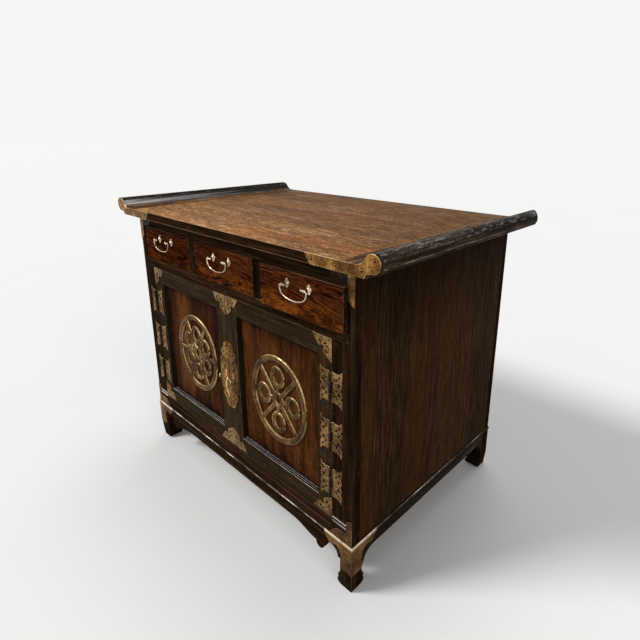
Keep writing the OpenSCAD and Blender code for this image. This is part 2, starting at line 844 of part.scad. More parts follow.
// A loop of wire that stands out of the plate, with its two legs one above the other
module eye() {
    translate([eye_x, y_front - plate_t, eye_z]) {
        for (s = [-1, 1]) translate([0, 0, s * eye_half]) rotate([90, 0, 0])
            cylinder(h = eye_end, r = eye_wire_r, $fn = 32);
        translate([0, -eye_end, 0]) rotate([0, 90, 0]) rotate([0, 0, 180])
            tube_arc(eye_half, eye_wire_r, 0, 180);
    }
}

// The ring hangs with its round top in the right eye and its point down
module drop_ring() {
    r = ring_half_w;
    fall = ring_len - r;
    side_r = (fall * fall + r * r) / (2 * r);
    turn = asin(fall / side_r);
    color(bright_brass) translate([eye_x, y_front - plate_t - eye_end, ring_z]) rotate([90, 0, 0]) {
        translate([0, -r, 0]) tube_arc(r, ring_wire_r, 0, 180);
        translate([r - side_r, -r, 0]) tube_arc(side_r, ring_wire_r, -turn, 0);
        translate([side_r - r, -r, 0]) tube_arc(side_r, ring_wire_r, 180, 180 + turn);
        both_sides() translate([r, -r, 0]) sphere(ring_wire_r + 0.1, $fn = 32);
        translate([0, -ring_len, 0]) sphere(ring_wire_r + 0.6, $fn = 32);
    }
}

module door_left_frame() { color(ebony) mirror([1, 0, 0]) door_frame(); }
module door_right_frame() { color(ebony) door_frame(); }
module door_left_panel() { color(door_wood) mirror([1, 0, 0]) door_panel(); }
module door_right_panel() { color(door_wood) door_panel(); }
module door_left_moulding() { color(ebony) mirror([1, 0, 0]) door_moulding(); }
module door_right_moulding() { color(ebony) door_moulding(); }
module door_left_corner_plates() { color(old_brass) mirror([1, 0, 0]) door_corner_plates(); }
module door_right_corner_plates() { color(old_brass) door_corner_plates(); }
module door_left_hinge_leaves() { color(old_brass) mirror([1, 0, 0]) door_hinge_leaves(); }
module door_right_hinge_leaves() { color(old_brass) door_hinge_leaves(); }
module door_left_lock_plate() { color(old_brass) mirror([1, 0, 0]) lock_plate(); }
module door_right_lock_plate() { color(old_brass) lock_plate(); }
module door_left_eye() { color(bright_brass) mirror([1, 0, 0]) eye(); }
module door_right_eye() { color(bright_brass) eye(); }

module door_left_roundel() {
    color("#8a6a35") carved_roundel(left_shift - roundel_x) {
        blossom(bar_w);
        blossom(bar_w - bar_shoulder);
    }
}

module door_right_roundel() {
    color("#8a6a35") carved_roundel(roundel_x) {
        clover(bar_w);
        clover(bar_w - bar_shoulder);
    }
}

// Drawers: x is the middle of the bay and out is how far the drawer stands open

function face_y(out) = y_front + drawer_sink - out;

module drawer_front(x, out) {
    half = bay_w / 2 - drawer_gap;
    y = face_y(out);
    color(rosewood) block([x - half, y, z_drawer_low + drawer_gap],
        [x + half, y + drawer_front_t, z_drawer_top - drawer_gap]);
}

module drawer_box(x, out) {
    y0 = face_y(out) + drawer_front_t;
    y1 = y0 + drawer_len;
    inner = box_half - drawer_side_t;
    color(pine) {
        for (s = [-1, 1]) translate([x, 0, 0]) mirror([s < 0 ? 1 : 0, 0, 0])
            block([inner, y0, z_box], [box_half, y1, z_box + box_h]);
        block([x - inner + seam, y1 - drawer_side_t, z_box + drawer_bottom_t + 4],
            [x + inner - seam, y1, z_box + box_h - 6]);
    }
}

module drawer_bottom(x, out) {
    y0 = face_y(out) + drawer_front_t;
    inner = box_half - drawer_side_t;
    color(pine) block([x - inner, y0, z_box + 4],
        [x + inner, y0 + drawer_len, z_box + 4 + drawer_bottom_t]);
}

// A turned post with a cast back plate, ending in a drilled eye for the bail
module pull_post() {
    neck = 2.4;
    eye_r = post_out - pivot_out;
    difference() {
        union() {
            linear_extrude(1.6) {
                circle(7.2, $fn = 40);
                for (s = [-1, 1]) translate([0, s * 6.5]) circle(3.8, $fn = 32);
            }
            rotate_extrude($fn = 48) intersection() {
                union() {
                    square([neck, pivot_out - 1]);
                    translate([0, 1.2]) circle(5.2, $fn = 40);
                }
                translate([0, 0.6]) square([10, post_out]);
            }
            translate([-2.2, 0, pivot_out]) rotate([0, 90, 0]) cylinder(h = 4.4, r = eye_r, $fn = 48);
        }
        translate([-10, 0, pivot_out]) rotate([0, 90, 0])
            cylinder(h = 20, r = bail_r + bail_play, $fn = 40);
    }
}

module pull_posts(x, out) {
    color(bright_brass) for (s = [-1, 1]) translate([x + s * pull_centres / 2, face_y(out), z_pull])
        rotate([90, 0, 0]) pull_post();
}

// The bail turns in its posts; its wire leaves them outwards, turns down and runs in
// three tangent arcs through its lowest point
module bail(x, out) {
    elbow = 4;
    half = pull_centres / 2 + 7;
    fall = bail_drop - elbow;
    side_r = 0.85 * fall;
    reach = half - side_r;
    low_r = (reach * reach + fall * fall - side_r * side_r) / (2 * (fall - side_r));
    turn = atan2(low_r - fall, reach);
    inner = pull_centres / 2 - 7.5;
    color(bright_brass) translate([x, face_y(out) - pivot_out, z_pull]) rotate([90, 0, 0]) {
        both_sides() {
            translate([inner, 0, 0]) rotate([0, 90, 0])
                cylinder(h = half - elbow - inner, r = bail_r, $fn = 32);
            translate([inner, 0, 0]) sphere(bail_r + 0.9, $fn = 32);
            translate([half - elbow, 0, 0]) sphere(bail_r + 0.1, $fn = 32);
            translate([half, -elbow, 0]) sphere(bail_r + 0.1, $fn = 32);
            translate([reach, -elbow, 0]) rotate([0, 0, -turn]) translate([side_r, 0, 0])
                sphere(bail_r + 0.1, $fn = 32);
            translate([half - elbow, -elbow, 0]) tube_arc(elbow, bail_r, 0, 90);
            translate([reach, -elbow, 0]) tube_arc(side_r, bail_r, -turn, 0);
        }
        translate([0, low_r - bail_drop, 0]) tube_arc(low_r, bail_r, -180 + turn, -turn);
    }
}

module drawer_left_front() { drawer_front(-drawer_x, left_out); }
module drawer_left_box() { drawer_box(-drawer_x, left_out); }
module drawer_left_bottom() { drawer_bottom(-drawer_x, left_out); }
module drawer_left_pull_posts() { pull_posts(-drawer_x, left_out); }
module drawer_left_bail() { bail(-drawer_x, left_out); }
module drawer_middle_front() { drawer_front(0, middle_out); }
module drawer_middle_box() { drawer_box(0, middle_out); }
module drawer_middle_bottom() { drawer_bottom(0, middle_out); }
module drawer_middle_pull_posts() { pull_posts(0, middle_out); }
module drawer_middle_bail() { bail(0, middle_out); }
module drawer_right_front() { drawer_front(drawer_x, right_out); }
module drawer_right_box() { drawer_box(drawer_x, right_out); }
module drawer_right_bottom() { drawer_bottom(drawer_x, right_out); }
module drawer_right_pull_posts() { pull_posts(drawer_x, right_out); }
module drawer_right_bail() { bail(drawer_x, right_out); }

top_panel();
top_end_flanges();
top_corner_brasses();
side_panel_left();
side_panel_right();
back_panel();
front_posts();
rear_posts();
top_rail();
middle_rail();
bottom_rail();
hinge_jambs();
drawer_dividers();
drawer_runners();
dust_panel();
cupboard_floor();
shelf();
shelf_cleats();
door_catches();
base_front_apron();
base_rear_apron();
base_side_aprons();
base_legs();
base_corner_brasses();
frame_corner_brasses();
hinge_post_leaves();
hinge_pins();
door_left_frame();
door_left_panel();
door_left_moulding();
door_left_roundel();
door_left_corner_plates();
door_left_hinge_leaves();
door_left_lock_plate();
door_left_eye();
door_right_frame();
door_right_panel();
door_right_moulding();
door_right_roundel();
door_right_corner_plates();
door_right_hinge_leaves();
door_right_lock_plate();
door_right_eye();
drop_ring();
drawer_left_front();
drawer_left_box();
drawer_left_bottom();
drawer_left_pull_posts();
drawer_left_bail();
drawer_middle_front();
drawer_middle_box();
drawer_middle_bottom();
drawer_middle_pull_posts();
drawer_middle_bail();
drawer_right_front();
drawer_right_box();
drawer_right_bottom();
drawer_right_pull_posts();
drawer_right_bail();
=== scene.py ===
import json
from math import asin, atan2, cos, degrees, hypot, pi, radians, sin

import bmesh
import bpy
from mathutils import Matrix, Vector


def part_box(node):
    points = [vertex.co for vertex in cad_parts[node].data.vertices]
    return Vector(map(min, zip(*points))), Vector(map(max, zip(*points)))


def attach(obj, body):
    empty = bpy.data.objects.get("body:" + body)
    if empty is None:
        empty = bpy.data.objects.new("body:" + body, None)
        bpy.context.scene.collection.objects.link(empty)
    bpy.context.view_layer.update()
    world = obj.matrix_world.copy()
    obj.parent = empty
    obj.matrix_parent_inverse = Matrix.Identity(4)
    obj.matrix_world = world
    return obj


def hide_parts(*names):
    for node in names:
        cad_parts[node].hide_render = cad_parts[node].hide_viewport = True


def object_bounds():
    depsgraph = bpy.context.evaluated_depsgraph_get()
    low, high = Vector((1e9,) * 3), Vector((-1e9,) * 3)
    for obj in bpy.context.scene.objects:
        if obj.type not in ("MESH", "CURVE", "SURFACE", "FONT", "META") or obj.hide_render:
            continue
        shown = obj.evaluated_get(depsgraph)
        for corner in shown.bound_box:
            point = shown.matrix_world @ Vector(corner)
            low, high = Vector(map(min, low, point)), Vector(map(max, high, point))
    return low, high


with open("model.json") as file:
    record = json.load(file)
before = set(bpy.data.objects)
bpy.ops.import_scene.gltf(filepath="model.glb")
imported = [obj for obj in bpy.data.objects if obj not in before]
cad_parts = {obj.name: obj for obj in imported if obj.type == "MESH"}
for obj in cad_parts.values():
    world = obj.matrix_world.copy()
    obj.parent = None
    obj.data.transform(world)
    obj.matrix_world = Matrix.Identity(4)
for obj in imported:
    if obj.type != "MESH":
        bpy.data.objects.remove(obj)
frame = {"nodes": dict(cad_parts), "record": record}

CAD_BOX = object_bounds()
NODES = frame["nodes"]

MM = 0.001

# Photograph's camera, in the frame's metres and degrees
CAMERA_PLACE = Vector((0.9452, -0.88395, 0.9617))
CAMERA_AZIMUTH = 43.9463
CAMERA_ELEVATION = 16.4147
CAMERA_ROLL = 0.0171
CAMERA_LENS = 26.911
CAMERA_SENSOR = 36
CAMERA_SHIFT = (-0.02348, -0.07496)
NEAREST_SEEN = 0.01

# World strength that lights the object, and the one that is seen and mirrored
WORLD_LIGHT = 0.3
WORLD_SEEN = 0.92

# Distant soft lamps: name, direction that the light travels in, strength, spread in degrees
SUNS = (("key", (0.50, 0.62, -0.78), 2.3, 16),
        ("side", (-0.85, 0.25, -0.45), 0.75, 40),
        ("top", (0.1, -0.35, -1.0), 0.7, 30))

FLOOR_REACH = 40
FLOOR_TONES = ((0.3, (0.785, 0.78, 0.77)), (0.7, (0.80, 0.795, 0.785)))
FLOOR_CLOUDS = 1.4
FLOOR_ROUGHNESS = 0.8


# Node trees

class Nodes:
    """Short calls for building the node tree of a material or a world."""

    def __init__(self, owner):
        owner.use_nodes = True
        self.owner = owner
        self.tree = owner.node_tree
        self.tree.nodes.clear()

    def add(self, kind, **values):
        """A new node with its settings. in_X feeds the socket that has the name or number X."""
        node = self.tree.nodes.new(kind)
        for key, value in values.items():
            if key.startswith("in_"):
                socket = key[3:]
                socket = int(socket) if socket.isdigit() else socket.replace("_", " ")
                self.feed(value, node.inputs[socket])
            else:
                setattr(node, key, value)
        return node

    def feed(self, value, socket):
        """Links a socket to another node, or gives it a value."""
        if isinstance(value, bpy.types.NodeSocket):
            self.tree.links.new(value, socket)
        elif isinstance(value, bpy.types.Node):
            self.tree.links.new(value.outputs[0], socket)
        else:
            socket.default_value = value

    def math(self, operation, a, b=0.0):
        return self.add("ShaderNodeMath", operation=operation, in_0=a, in_1=b).outputs[0]

    def weighted(self, a, share_a, b, share_b):
        return self.math("ADD", self.math("MULTIPLY", a, share_a),
                         self.math("MULTIPLY", b, share_b))

    def mix(self, share, a, b, blend="MIX"):
        return self.add("ShaderNodeMix", data_type="RGBA", blend_type=blend,
                        in_0=share, in_6=a, in_7=b).outputs[2]

    def times(self, colour, factor):
        return self.mix(1.0, colour, factor, "MULTIPLY")

    def ramp(self, value, *stops):
        """Runs a value through stops of (place, grey or colour)."""
        node = self.add("ShaderNodeValToRGB", in_0=value)
        elements = node.color_ramp.elements
        while len(elements) < len(stops):
            elements.new(0.5)
        for element, (place, colour) in zip(elements, stops):
            element.position = place
            element.color = grey(colour) if isinstance(colour, float) else (*colour, 1)
        return node.outputs[0]

    def stretched(self, vector, grain, scale):
        """The vector with its share along the grain's axis scaled."""
        factors = [scale if axis == grain else 1.0 for axis in "xyz"]
        return self.add("ShaderNodeVectorMath", operation="MULTIPLY", in_0=vector,
                        in_1=factors).outputs[0]

    def noise(self, vector, scale, detail=4.0, rough=0.55):
        return self.add("ShaderNodeTexNoise", in_Vector=vector, in_Scale=scale, in_Detail=detail,
                        in_Roughness=rough).outputs[0]


def grey(value):
    return (value, value, value, 1)


def material_nodes(name):
    """The nodes of a new material, and the place on the object that its patterns follow."""
    n = Nodes(bpy.data.materials.new(name))
    return n, n.add("ShaderNodeTexCoord").outputs["Object"]


def principled(n, colour, roughness, metallic=0.0, bump=None, bump_depth=0.0, **more):
    """Ends a material with one surface. bump is a height, and more feeds other sockets."""
    if bump is not None:
        more["in_Normal"] = n.add("ShaderNodeBump", in_Height=bump, in_Strength=1.0,
                                  in_Distance=bump_depth)
    shader = n.add("ShaderNodeBsdfPrincipled", in_Base_Color=colour, in_Roughness=roughness,
                   in_Metallic=metallic, **more)
    n.add("ShaderNodeOutputMaterial", in_Surface=shader)
    return n.owner


# Camera, lights and floor

def make_camera():
    """The photograph's camera, which looks back along its own Z axis."""
    a = radians(CAMERA_AZIMUTH)
    e = radians(CAMERA_ELEVATION)
    r = radians(CAMERA_ROLL)
    back = Vector((sin(a) * cos(e), -cos(a) * cos(e), sin(e)))
    right = Vector((0, 0, 1)).cross(back).normalized()
    up = back.cross(right)
    rolled_right = right * cos(r) + up * sin(r)
    rolled_up = up * cos(r) - right * sin(r)
    data = bpy.data.cameras.new("camera")
    data.sensor_width = CAMERA_SENSOR
    data.lens = CAMERA_LENS
    data.shift_x, data.shift_y = CAMERA_SHIFT
    data.clip_start = NEAREST_SEEN
    camera = bpy.data.objects.new("camera", data)
    turn = Matrix((rolled_right, rolled_up, back)).transposed().to_4x4()
    camera.matrix_world = Matrix.Translation(CAMERA_PLACE) @ turn
    bpy.context.scene.collection.objects.link(camera)
    bpy.context.scene.camera = camera


def make_floor():
    n, place = material_nodes("pale_floor")
    cloud = n.ramp(n.noise(place, FLOOR_CLOUDS, 3.0), *FLOOR_TONES)
    mesh = bpy.data.meshes.new("floor")
    corners = [(FLOOR_REACH * x, FLOOR_REACH * y, 0)
               for x, y in ((-1, -1), (1, -1), (1, 1), (-1, 1))]
    mesh.from_pydata(corners, [], [(0, 1, 2, 3)])
    mesh.materials.append(principled(n, cloud, FLOOR_ROUGHNESS))
    floor = bpy.data.objects.new("floor", mesh)
    bpy.context.scene.collection.objects.link(floor)


def make_world():
    """White all round, and brighter where it is seen or mirrored than where it lights."""
    world = bpy.data.worlds.new("world")
    bpy.context.scene.world = world
    n = Nodes(world)
    rays = n.add("ShaderNodeLightPath").outputs
    share = rays["Is Camera Ray"]
    for ray in ("Is Glossy Ray", "Is Transmission Ray"):
        share = n.math("MAXIMUM", share, rays[ray])
    lit, seen = [n.add("ShaderNodeBackground", in_Color=grey(1.0), in_Strength=strength)
                 for strength in (WORLD_LIGHT, WORLD_SEEN)]
    mixed = n.add("ShaderNodeMixShader", in_0=share, in_1=lit, in_2=seen)
    n.add("ShaderNodeOutputWorld", in_0=mixed)


def make_suns():
    for name, towards, strength, spread in SUNS:
        data = bpy.data.lights.new(name, "SUN")
        data.energy = strength
        data.angle = radians(spread)
        lamp = bpy.data.objects.new(name, data)
        lamp.rotation_euler = Vector(towards).to_track_quat("-Z", "Y").to_euler()
        bpy.context.scene.collection.objects.link(lamp)


bpy.context.scene.view_settings.view_transform = "Standard"
make_camera()
make_floor()
make_world()
make_suns()


# Materials

SWIRL_REACH = 0.06          # metres that a swirl of 1 moves the fibres by
BROAD_FINENESS = 2.2        # scale of the broad tone, over that of the figure
PATCH_FINENESS = 1.3        # scale of the patches, over that of the figure
WOOD_RELIEF = 0.00015       # depth of the pores and lines
WOOD_GLINT = (1.0, 0.86, 0.7, 1)


def shift(n, place, axis, start, end, a, b):
    """A number that runs from a to b while a coordinate runs from start to end."""
    part = n.add("ShaderNodeSeparateXYZ", in_0=place).outputs[axis]
    return n.add("ShaderNodeMapRange", in_Value=part, in_From_Min=start, in_From_Max=end,
                 in_To_Min=a, in_To_Max=b).outputs[0]


def panel_edge_shade(n, place, low, high, reach):
    """Painted shade: darkening towards the edges of the two door panels, where the frame shades
    their recess. The panels mirror each other in X.
    """
    x, _, z = n.add("ShaderNodeSeparateXYZ", in_0=place).outputs
    insides = []
    for value, a, b in ((n.math("ABSOLUTE", x), low.x, high.x), (z, low.z, high.z)):
        off = n.math("ABSOLUTE", n.math("SUBTRACT", value, (a + b) / 2))
        insides.append(n.math("SUBTRACT", (b - a) / 2, off))
    cloud = n.math("MULTIPLY", n.math("SUBTRACT", n.noise(place, 30.0), 0.5), reach)
    near = n.math("DIVIDE", n.math("ADD", n.math("MINIMUM", *insides), cloud), reach)
    return n.ramp(near, (0.0, 0.28), (0.45, 0.72), (1.0, 1.0))


def wood(name, dark, mid, light, grain="z", figure=7.0, lines=60.0, pores=420.0, pore_depth=0.5,
         swirl=0.5, tilt=0.0, along=0.05, spread=0.135, broad_share=0.4, gloss=0.4, shine=0.004,
         patch=None, patch_share=0.0, patch_shifts=(), blotch=0.0, veins=0.0, vein_scale=60.0,
         speckle=0.0, speckle_scale=330.0, fades=(), dust=None, dust_share=0.0, dust_scale=40.0,
         dust_along=1.0, dust_from=0.6, edge_shade=None):
    """Waxed wood: broad figure, lines and dark pores along the fibres, patches and worn spots.

    figure, lines and pores are scales, from coarse to fine, and along is the stretch of all three
    in the direction of the fibres. swirl bends the fibres and tilt turns them about Y, in degrees.
    spread is how far the tone has to stray to be dark or light. patch colours broad places, veins
    darkens thin ones, speckle is fine, and dust lies in scuffs. patch_shifts and fades hold the
    last five values of shift() and change a patch or the colour from one end to the other."""
    n, place = material_nodes(name)
    turned = place
    if tilt:
        turned = n.add("ShaderNodeVectorRotate", rotation_type="Y_AXIS", in_Vector=place,
                       in_Angle=radians(tilt)).outputs[0]
    fibre = n.stretched(turned, grain, along)
    bend = n.add("ShaderNodeTexNoise", in_Vector=fibre, in_Scale=figure, in_Detail=2.0)
    offset = n.add("ShaderNodeVectorMath", operation="SCALE", in_0=bend.outputs["Color"],
                   in_Scale=SWIRL_REACH * swirl)
    moved = n.add("ShaderNodeVectorMath", operation="ADD", in_0=fibre, in_1=offset).outputs[0]
    broad = n.noise(moved, figure * BROAD_FINENESS, 4.0, 0.6)
    stripe = n.noise(moved, lines, 4.0, 0.62)
    fine = n.noise(moved, pores, 3.0, 0.65)
    tone = n.weighted(broad, broad_share, stripe, 1 - broad_share)
    colour = n.ramp(tone, (0.5 - spread, dark), (0.5, mid), (0.5 + spread, light))
    if patch:
        if blotch:
            spot = n.noise(n.stretched(turned, grain, 0.5), blotch, 5.0, 0.65)
        else:
            spot = n.noise(moved, figure * PATCH_FINENESS, 3.0, 0.6)
        share = n.math("MULTIPLY", n.ramp(spot, (0.49, 0.0), (0.60, 1.0)), patch_share)
        for limits in patch_shifts:
            share = n.math("MULTIPLY", share, shift(n, place, *limits))
        colour = n.mix(share, colour, (*patch, 1))
    if veins:
        wave = n.add("ShaderNodeTexWave", bands_direction="X" if grain == "z" else "Z",
                     in_Vector=moved, in_Scale=vein_scale, in_Distortion=4.0, in_Detail=3.0,
                     in_Detail_Scale=0.7)
        colour = n.times(colour, n.ramp(wave, (0.06, 1.0 - veins), (0.36, 1.0)))
    colour = n.times(colour, n.ramp(fine, (0.38, 1.0 - pore_depth), (0.52, 1.0)))
    if speckle:
        spot = n.noise(n.stretched(place, grain, 0.3), speckle_scale, 3.0, 0.7)
        colour = n.times(colour, n.ramp(spot, (0.34, 1.0 - speckle), (0.5, 1.0),
                                        (0.66, 1.0 + 1.3 * speckle)))
    for limits in fades:
        colour = n.times(colour, shift(n, place, *limits))
    if dust:
        scuff = n.noise(n.stretched(place, grain, dust_along), dust_scale, 7.0, 0.72)
        scuff = n.ramp(scuff, (dust_from, 0.0), (dust_from + 0.1, 1.0))
        colour = n.mix(n.math("MULTIPLY", scuff, dust_share), colour, (*dust, 1))
    # edge_shade paints shade into a door panel's colour near its frame
    if edge_shade:
        colour = n.times(colour, panel_edge_shade(n, place, *edge_shade))
    rough = n.ramp(n.noise(place, 14.0, 5.0, 0.6), (0.3, gloss - 0.06), (0.7, gloss + 0.12))
    return principled(n, colour, rough, bump=n.weighted(fine, 0.6, stripe, 0.6),
                      bump_depth=WOOD_RELIEF, in_Specular_IOR_Level=shine,
                      in_Specular_Tint=WOOD_GLINT)


def brass(name, deep, body, bright, roughness=0.36, metal=0.85, pits=0.0002, cell=300.0,
          spots=0.5, fades=()):
    """Aged brass: cloudy tarnish, small dark pits and brighter rubbed places.

    pits is their depth, cell the scale of the places that they lie in, and spots how dark they
    are. fades is as in wood()."""
    n, place = material_nodes(name)
    cloud = n.noise(place, 22.0, 6.0, 0.62)
    fine = n.noise(place, 190.0, 4.0, 0.6)
    tone = n.weighted(cloud, 0.62, fine, 0.38)
    colour = n.ramp(tone, (0.36, deep), (0.49, body), (0.64, bright))
    dots = n.add("ShaderNodeTexVoronoi", in_Vector=place, in_Scale=cell, in_Randomness=0.9)
    pit = n.ramp(dots.outputs["Distance"], (0.10, 0.0), (0.30, 1.0))
    lighter = n.ramp(n.noise(place, 60.0, 3.0, 0.6), (0.42, 1.0), (0.56, 0.0))
    hole = n.math("MAXIMUM", pit, lighter)
    colour = n.mix(n.math("MULTIPLY", n.math("SUBTRACT", 1.0, hole), spots), colour, (*deep, 1))
    for limits in fades:
        colour = n.times(colour, shift(n, place, *limits))
    rough = n.ramp(tone, (0.38, min(1.0, roughness + 0.22)), (0.62, roughness))
    return principled(n, colour, rough, metal, n.weighted(hole, 0.6, fine, 0.4), pits,
                      in_Specular_IOR_Level=0.5 if metal > 0.6 else 0.15)


PANEL_LOW, PANEL_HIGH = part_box("door_right_panel")
BLACK = ((0.0065, 0.003, 0.0012), (0.0175, 0.0084, 0.0034), (0.046, 0.0235, 0.0098))
DARK_BROWN = ((0.009, 0.0051, 0.0021), (0.0265, 0.0156, 0.0066), (0.064, 0.04, 0.0175))
# The top board's fades are painted light: a pool of painted light that up to doubles its colour at
# the front, and painted shade towards the right end and the rear
TOP_WOOD = wood("top_board_wood", (0.05, 0.02, 0.0058), (0.158, 0.071, 0.024), (0.37, 0.2, 0.084),
                "x", figure=9.0, lines=170.0, pores=430.0, pore_depth=0.6, gloss=0.42, swirl=0.9,
                along=0.14, patch=(0.2, 0.07, 0.014), patch_share=0.45, dust=(0.5, 0.36, 0.22),
                dust_share=0.45, dust_scale=140.0, dust_along=0.3, broad_share=0.3, shine=0.008,
                spread=0.15, speckle=0.6, speckle_scale=400.0,
                fades=((1, -0.32, -0.06, 2.05, 1.0), (0, 0.1, 0.45, 1.0, 0.74),
                       (1, 0.0, 0.3, 1.0, 0.8)))
# The side panels' fade is a painted shadow of the rolled end: darker towards the top
SIDE_WOOD = wood("side_wood", (0.013, 0.0058, 0.002), (0.032, 0.0155, 0.0058),
                 (0.068, 0.036, 0.0145), "z", figure=6.0, lines=290.0, pores=520.0, pore_depth=0.55,
                 gloss=0.45, patch=(0.076, 0.027, 0.0066), patch_share=0.3, speckle=0.25,
                 speckle_scale=420.0, along=0.035, broad_share=0.15, spread=0.15, veins=0.15,
                 vein_scale=55.0, fades=((2, 0.5, 0.69, 1.0, 0.36),))
DRAWER_WOOD = wood("figured_wood", (0.015, 0.003, 0.001), (0.055, 0.0135, 0.0044),
                   (0.135, 0.038, 0.0105), "x", figure=16.0, lines=300.0, pores=480.0,
                   pore_depth=0.6, gloss=0.32, swirl=1.7, tilt=-5.0, along=0.1,
                   patch=(0.34, 0.094, 0.011), patch_share=0.7, veins=0.78, vein_scale=58.0,
                   shine=0.0, broad_share=0.45, speckle=0.25, blotch=34.0,
                   patch_shifts=((2, 0.62, 0.662, 1.0, 0.0), (0, -0.2, 0.16, 0.3, 1.0)))
# The door panels carry painted shade towards their edges
PANEL_WOOD = wood("panel_wood", (0.013, 0.004, 0.0012), (0.048, 0.0155, 0.0052),
                  (0.12, 0.043, 0.014), "z", figure=6.0, lines=150.0, pore_depth=0.55, gloss=0.35,
                  swirl=1.6, along=0.07, patch=(0.21, 0.07, 0.015), patch_share=0.5,
                  edge_shade=(PANEL_LOW, PANEL_HIGH, 0.055), spread=0.16, speckle=0.25, broad_share=0.3,
                  veins=0.45, vein_scale=48.0)
DUSTY = dict(gloss=0.42, shine=0.001, dust=(0.078, 0.04, 0.017), dust_share=0.5, speckle=0.15)
FRAME_WOOD = wood("frame_wood", *BLACK, "z", figure=8.0, lines=110.0, **DUSTY)
RAIL_WOOD = wood("rail_wood", *BLACK, "x", figure=8.0, lines=110.0, **DUSTY)
WORN = dict(figure=6.0, lines=140.0, pores=520.0, pore_depth=0.45, dust=(0.105, 0.07, 0.036),
            dust_share=0.55, spread=0.2, speckle=0.2)
DOOR_WOOD = wood("door_frame_wood", *DARK_BROWN, "z", **WORN)
DOOR_RAIL_WOOD = wood("door_rail_wood", *DARK_BROWN, "x", **WORN)
FLANGE_WOOD = wood("flange_wood", (0.0055, 0.0033, 0.0018), (0.02, 0.0122, 0.0066),
                   (0.058, 0.037, 0.021), "y", figure=8.0, lines=110.0, pore_depth=0.4, gloss=0.34,
                   shine=0.006, dust=(0.16, 0.12, 0.085), dust_share=0.55, dust_scale=50.0,
                   dust_along=0.25, speckle=0.3)
SCUFFED_WOOD = wood("scuffed_wood", (0.0085, 0.0055, 0.0037), (0.027, 0.019, 0.014),
                    (0.105, 0.084, 0.067), "y", figure=16.0, lines=190.0, gloss=0.36, shine=0.01,
                    dust=(0.3, 0.275, 0.25), dust_share=0.5, dust_scale=150.0, dust_along=0.22,
                    dust_from=0.52, spread=0.13, speckle=0.6, fades=((1, -0.3, 0.02, 1.25, 0.45),))
# Painted reflection: pale streaks for the light mirrored by the inner side of the left rolled end,
# fading towards the rear
SHEEN_WOOD = wood("painted_reflection_wood", (0.01, 0.0085, 0.0085), (0.105, 0.096, 0.096),
                  (0.56, 0.55, 0.57), "y", figure=12.0, lines=170.0, pore_depth=0.3, gloss=0.26,
                  shine=0.05, along=0.012, broad_share=0.15, spread=0.12, swirl=0.2, speckle=0.2,
                  fades=((1, -0.22, 0.12, 1.0, 0.22),))
RUBBED_WOOD = wood("rubbed_flange_wood", (0.02, 0.0105, 0.005), (0.085, 0.043, 0.018),
                   (0.23, 0.135, 0.068), "y", figure=12.0, lines=130.0, gloss=0.36, along=0.1,
                   dust=(0.4, 0.32, 0.24), dust_share=0.6, dust_scale=70.0, dust_along=0.5,
                   speckle=0.45)
# Painted highlight: a thin pale line along the lower outer side of each rolled end
HIGHLIGHT_LINE_WOOD = wood("painted_highlight_line_wood", (0.01, 0.0062, 0.0038), (0.05, 0.035, 0.0245),
                 (0.26, 0.21, 0.165), "y", figure=16.0, lines=150.0, pore_depth=0.4, gloss=0.36,
                 along=0.15, speckle=0.5)
# Softened wood edges are lighter: partly wear, partly a painted highlight along them
EDGE_WOOD = wood("worn_highlit_edge_wood", (0.013, 0.0075, 0.0036), (0.052, 0.031, 0.016),
                 (0.17, 0.112, 0.064), "x", figure=20.0, lines=120.0, pores=500.0, pore_depth=0.3,
                 gloss=0.3, shine=0.01)
# A dimmer copy of the edge colour, with less painted highlight
DIM_EDGE_WOOD = wood("dim_edge_wood", (0.008, 0.0045, 0.002), (0.024, 0.014, 0.0068),
                     (0.075, 0.048, 0.026), "z", figure=20.0, lines=90.0, pores=500.0,
                     pore_depth=0.3)
# Lighter edges of the top board: partly wear, partly painted highlight
TOP_EDGE_WOOD = wood("top_edge_wood", (0.1, 0.055, 0.025), (0.28, 0.175, 0.092), (0.5, 0.35, 0.21),
                     "x", figure=20.0, lines=120.0, pores=500.0, pore_depth=0.3, gloss=0.35)
MOULDING_WOOD = wood("moulding_wood", (0.004, 0.0024, 0.0013), (0.009, 0.0056, 0.0032),
                     (0.02, 0.013, 0.008), "z", figure=9.0, pore_depth=0.2, gloss=0.3, shine=0.02)
# Painted highlight, dim, for the crests of reeds and beads
REED_HIGHLIGHT_WOOD = wood("dim_reed_highlight_wood", (0.014, 0.0085, 0.005), (0.04, 0.026, 0.016),
                 (0.15, 0.108, 0.076), "x", figure=14.0, pore_depth=0.2, gloss=0.3, shine=0.02,
                 spread=0.17)
# Painted highlight along the bead of the front apron
BEAD_HIGHLIGHT_WOOD = wood("bead_highlight_wood", (0.04, 0.026, 0.018), (0.24, 0.21, 0.185), (0.74, 0.71, 0.68),
                 "x", figure=14.0, lines=70.0, pore_depth=0.3, gloss=0.25, shine=0.05, spread=0.11,
                 along=0.3, broad_share=0.25, speckle=0.4)
# Painted highlight along the beads of the side aprons, fading towards the rear
SIDE_BEAD_HIGHLIGHT_WOOD = wood("side_bead_highlight_wood", (0.02, 0.014, 0.01), (0.125, 0.108, 0.095),
                      (0.52, 0.49, 0.46), "y", figure=14.0, lines=70.0, pore_depth=0.3, gloss=0.25,
                      shine=0.03, spread=0.12, along=0.3, broad_share=0.25, speckle=0.4,
                      fades=((1, -0.28, 0.25, 1.4, 0.4),))
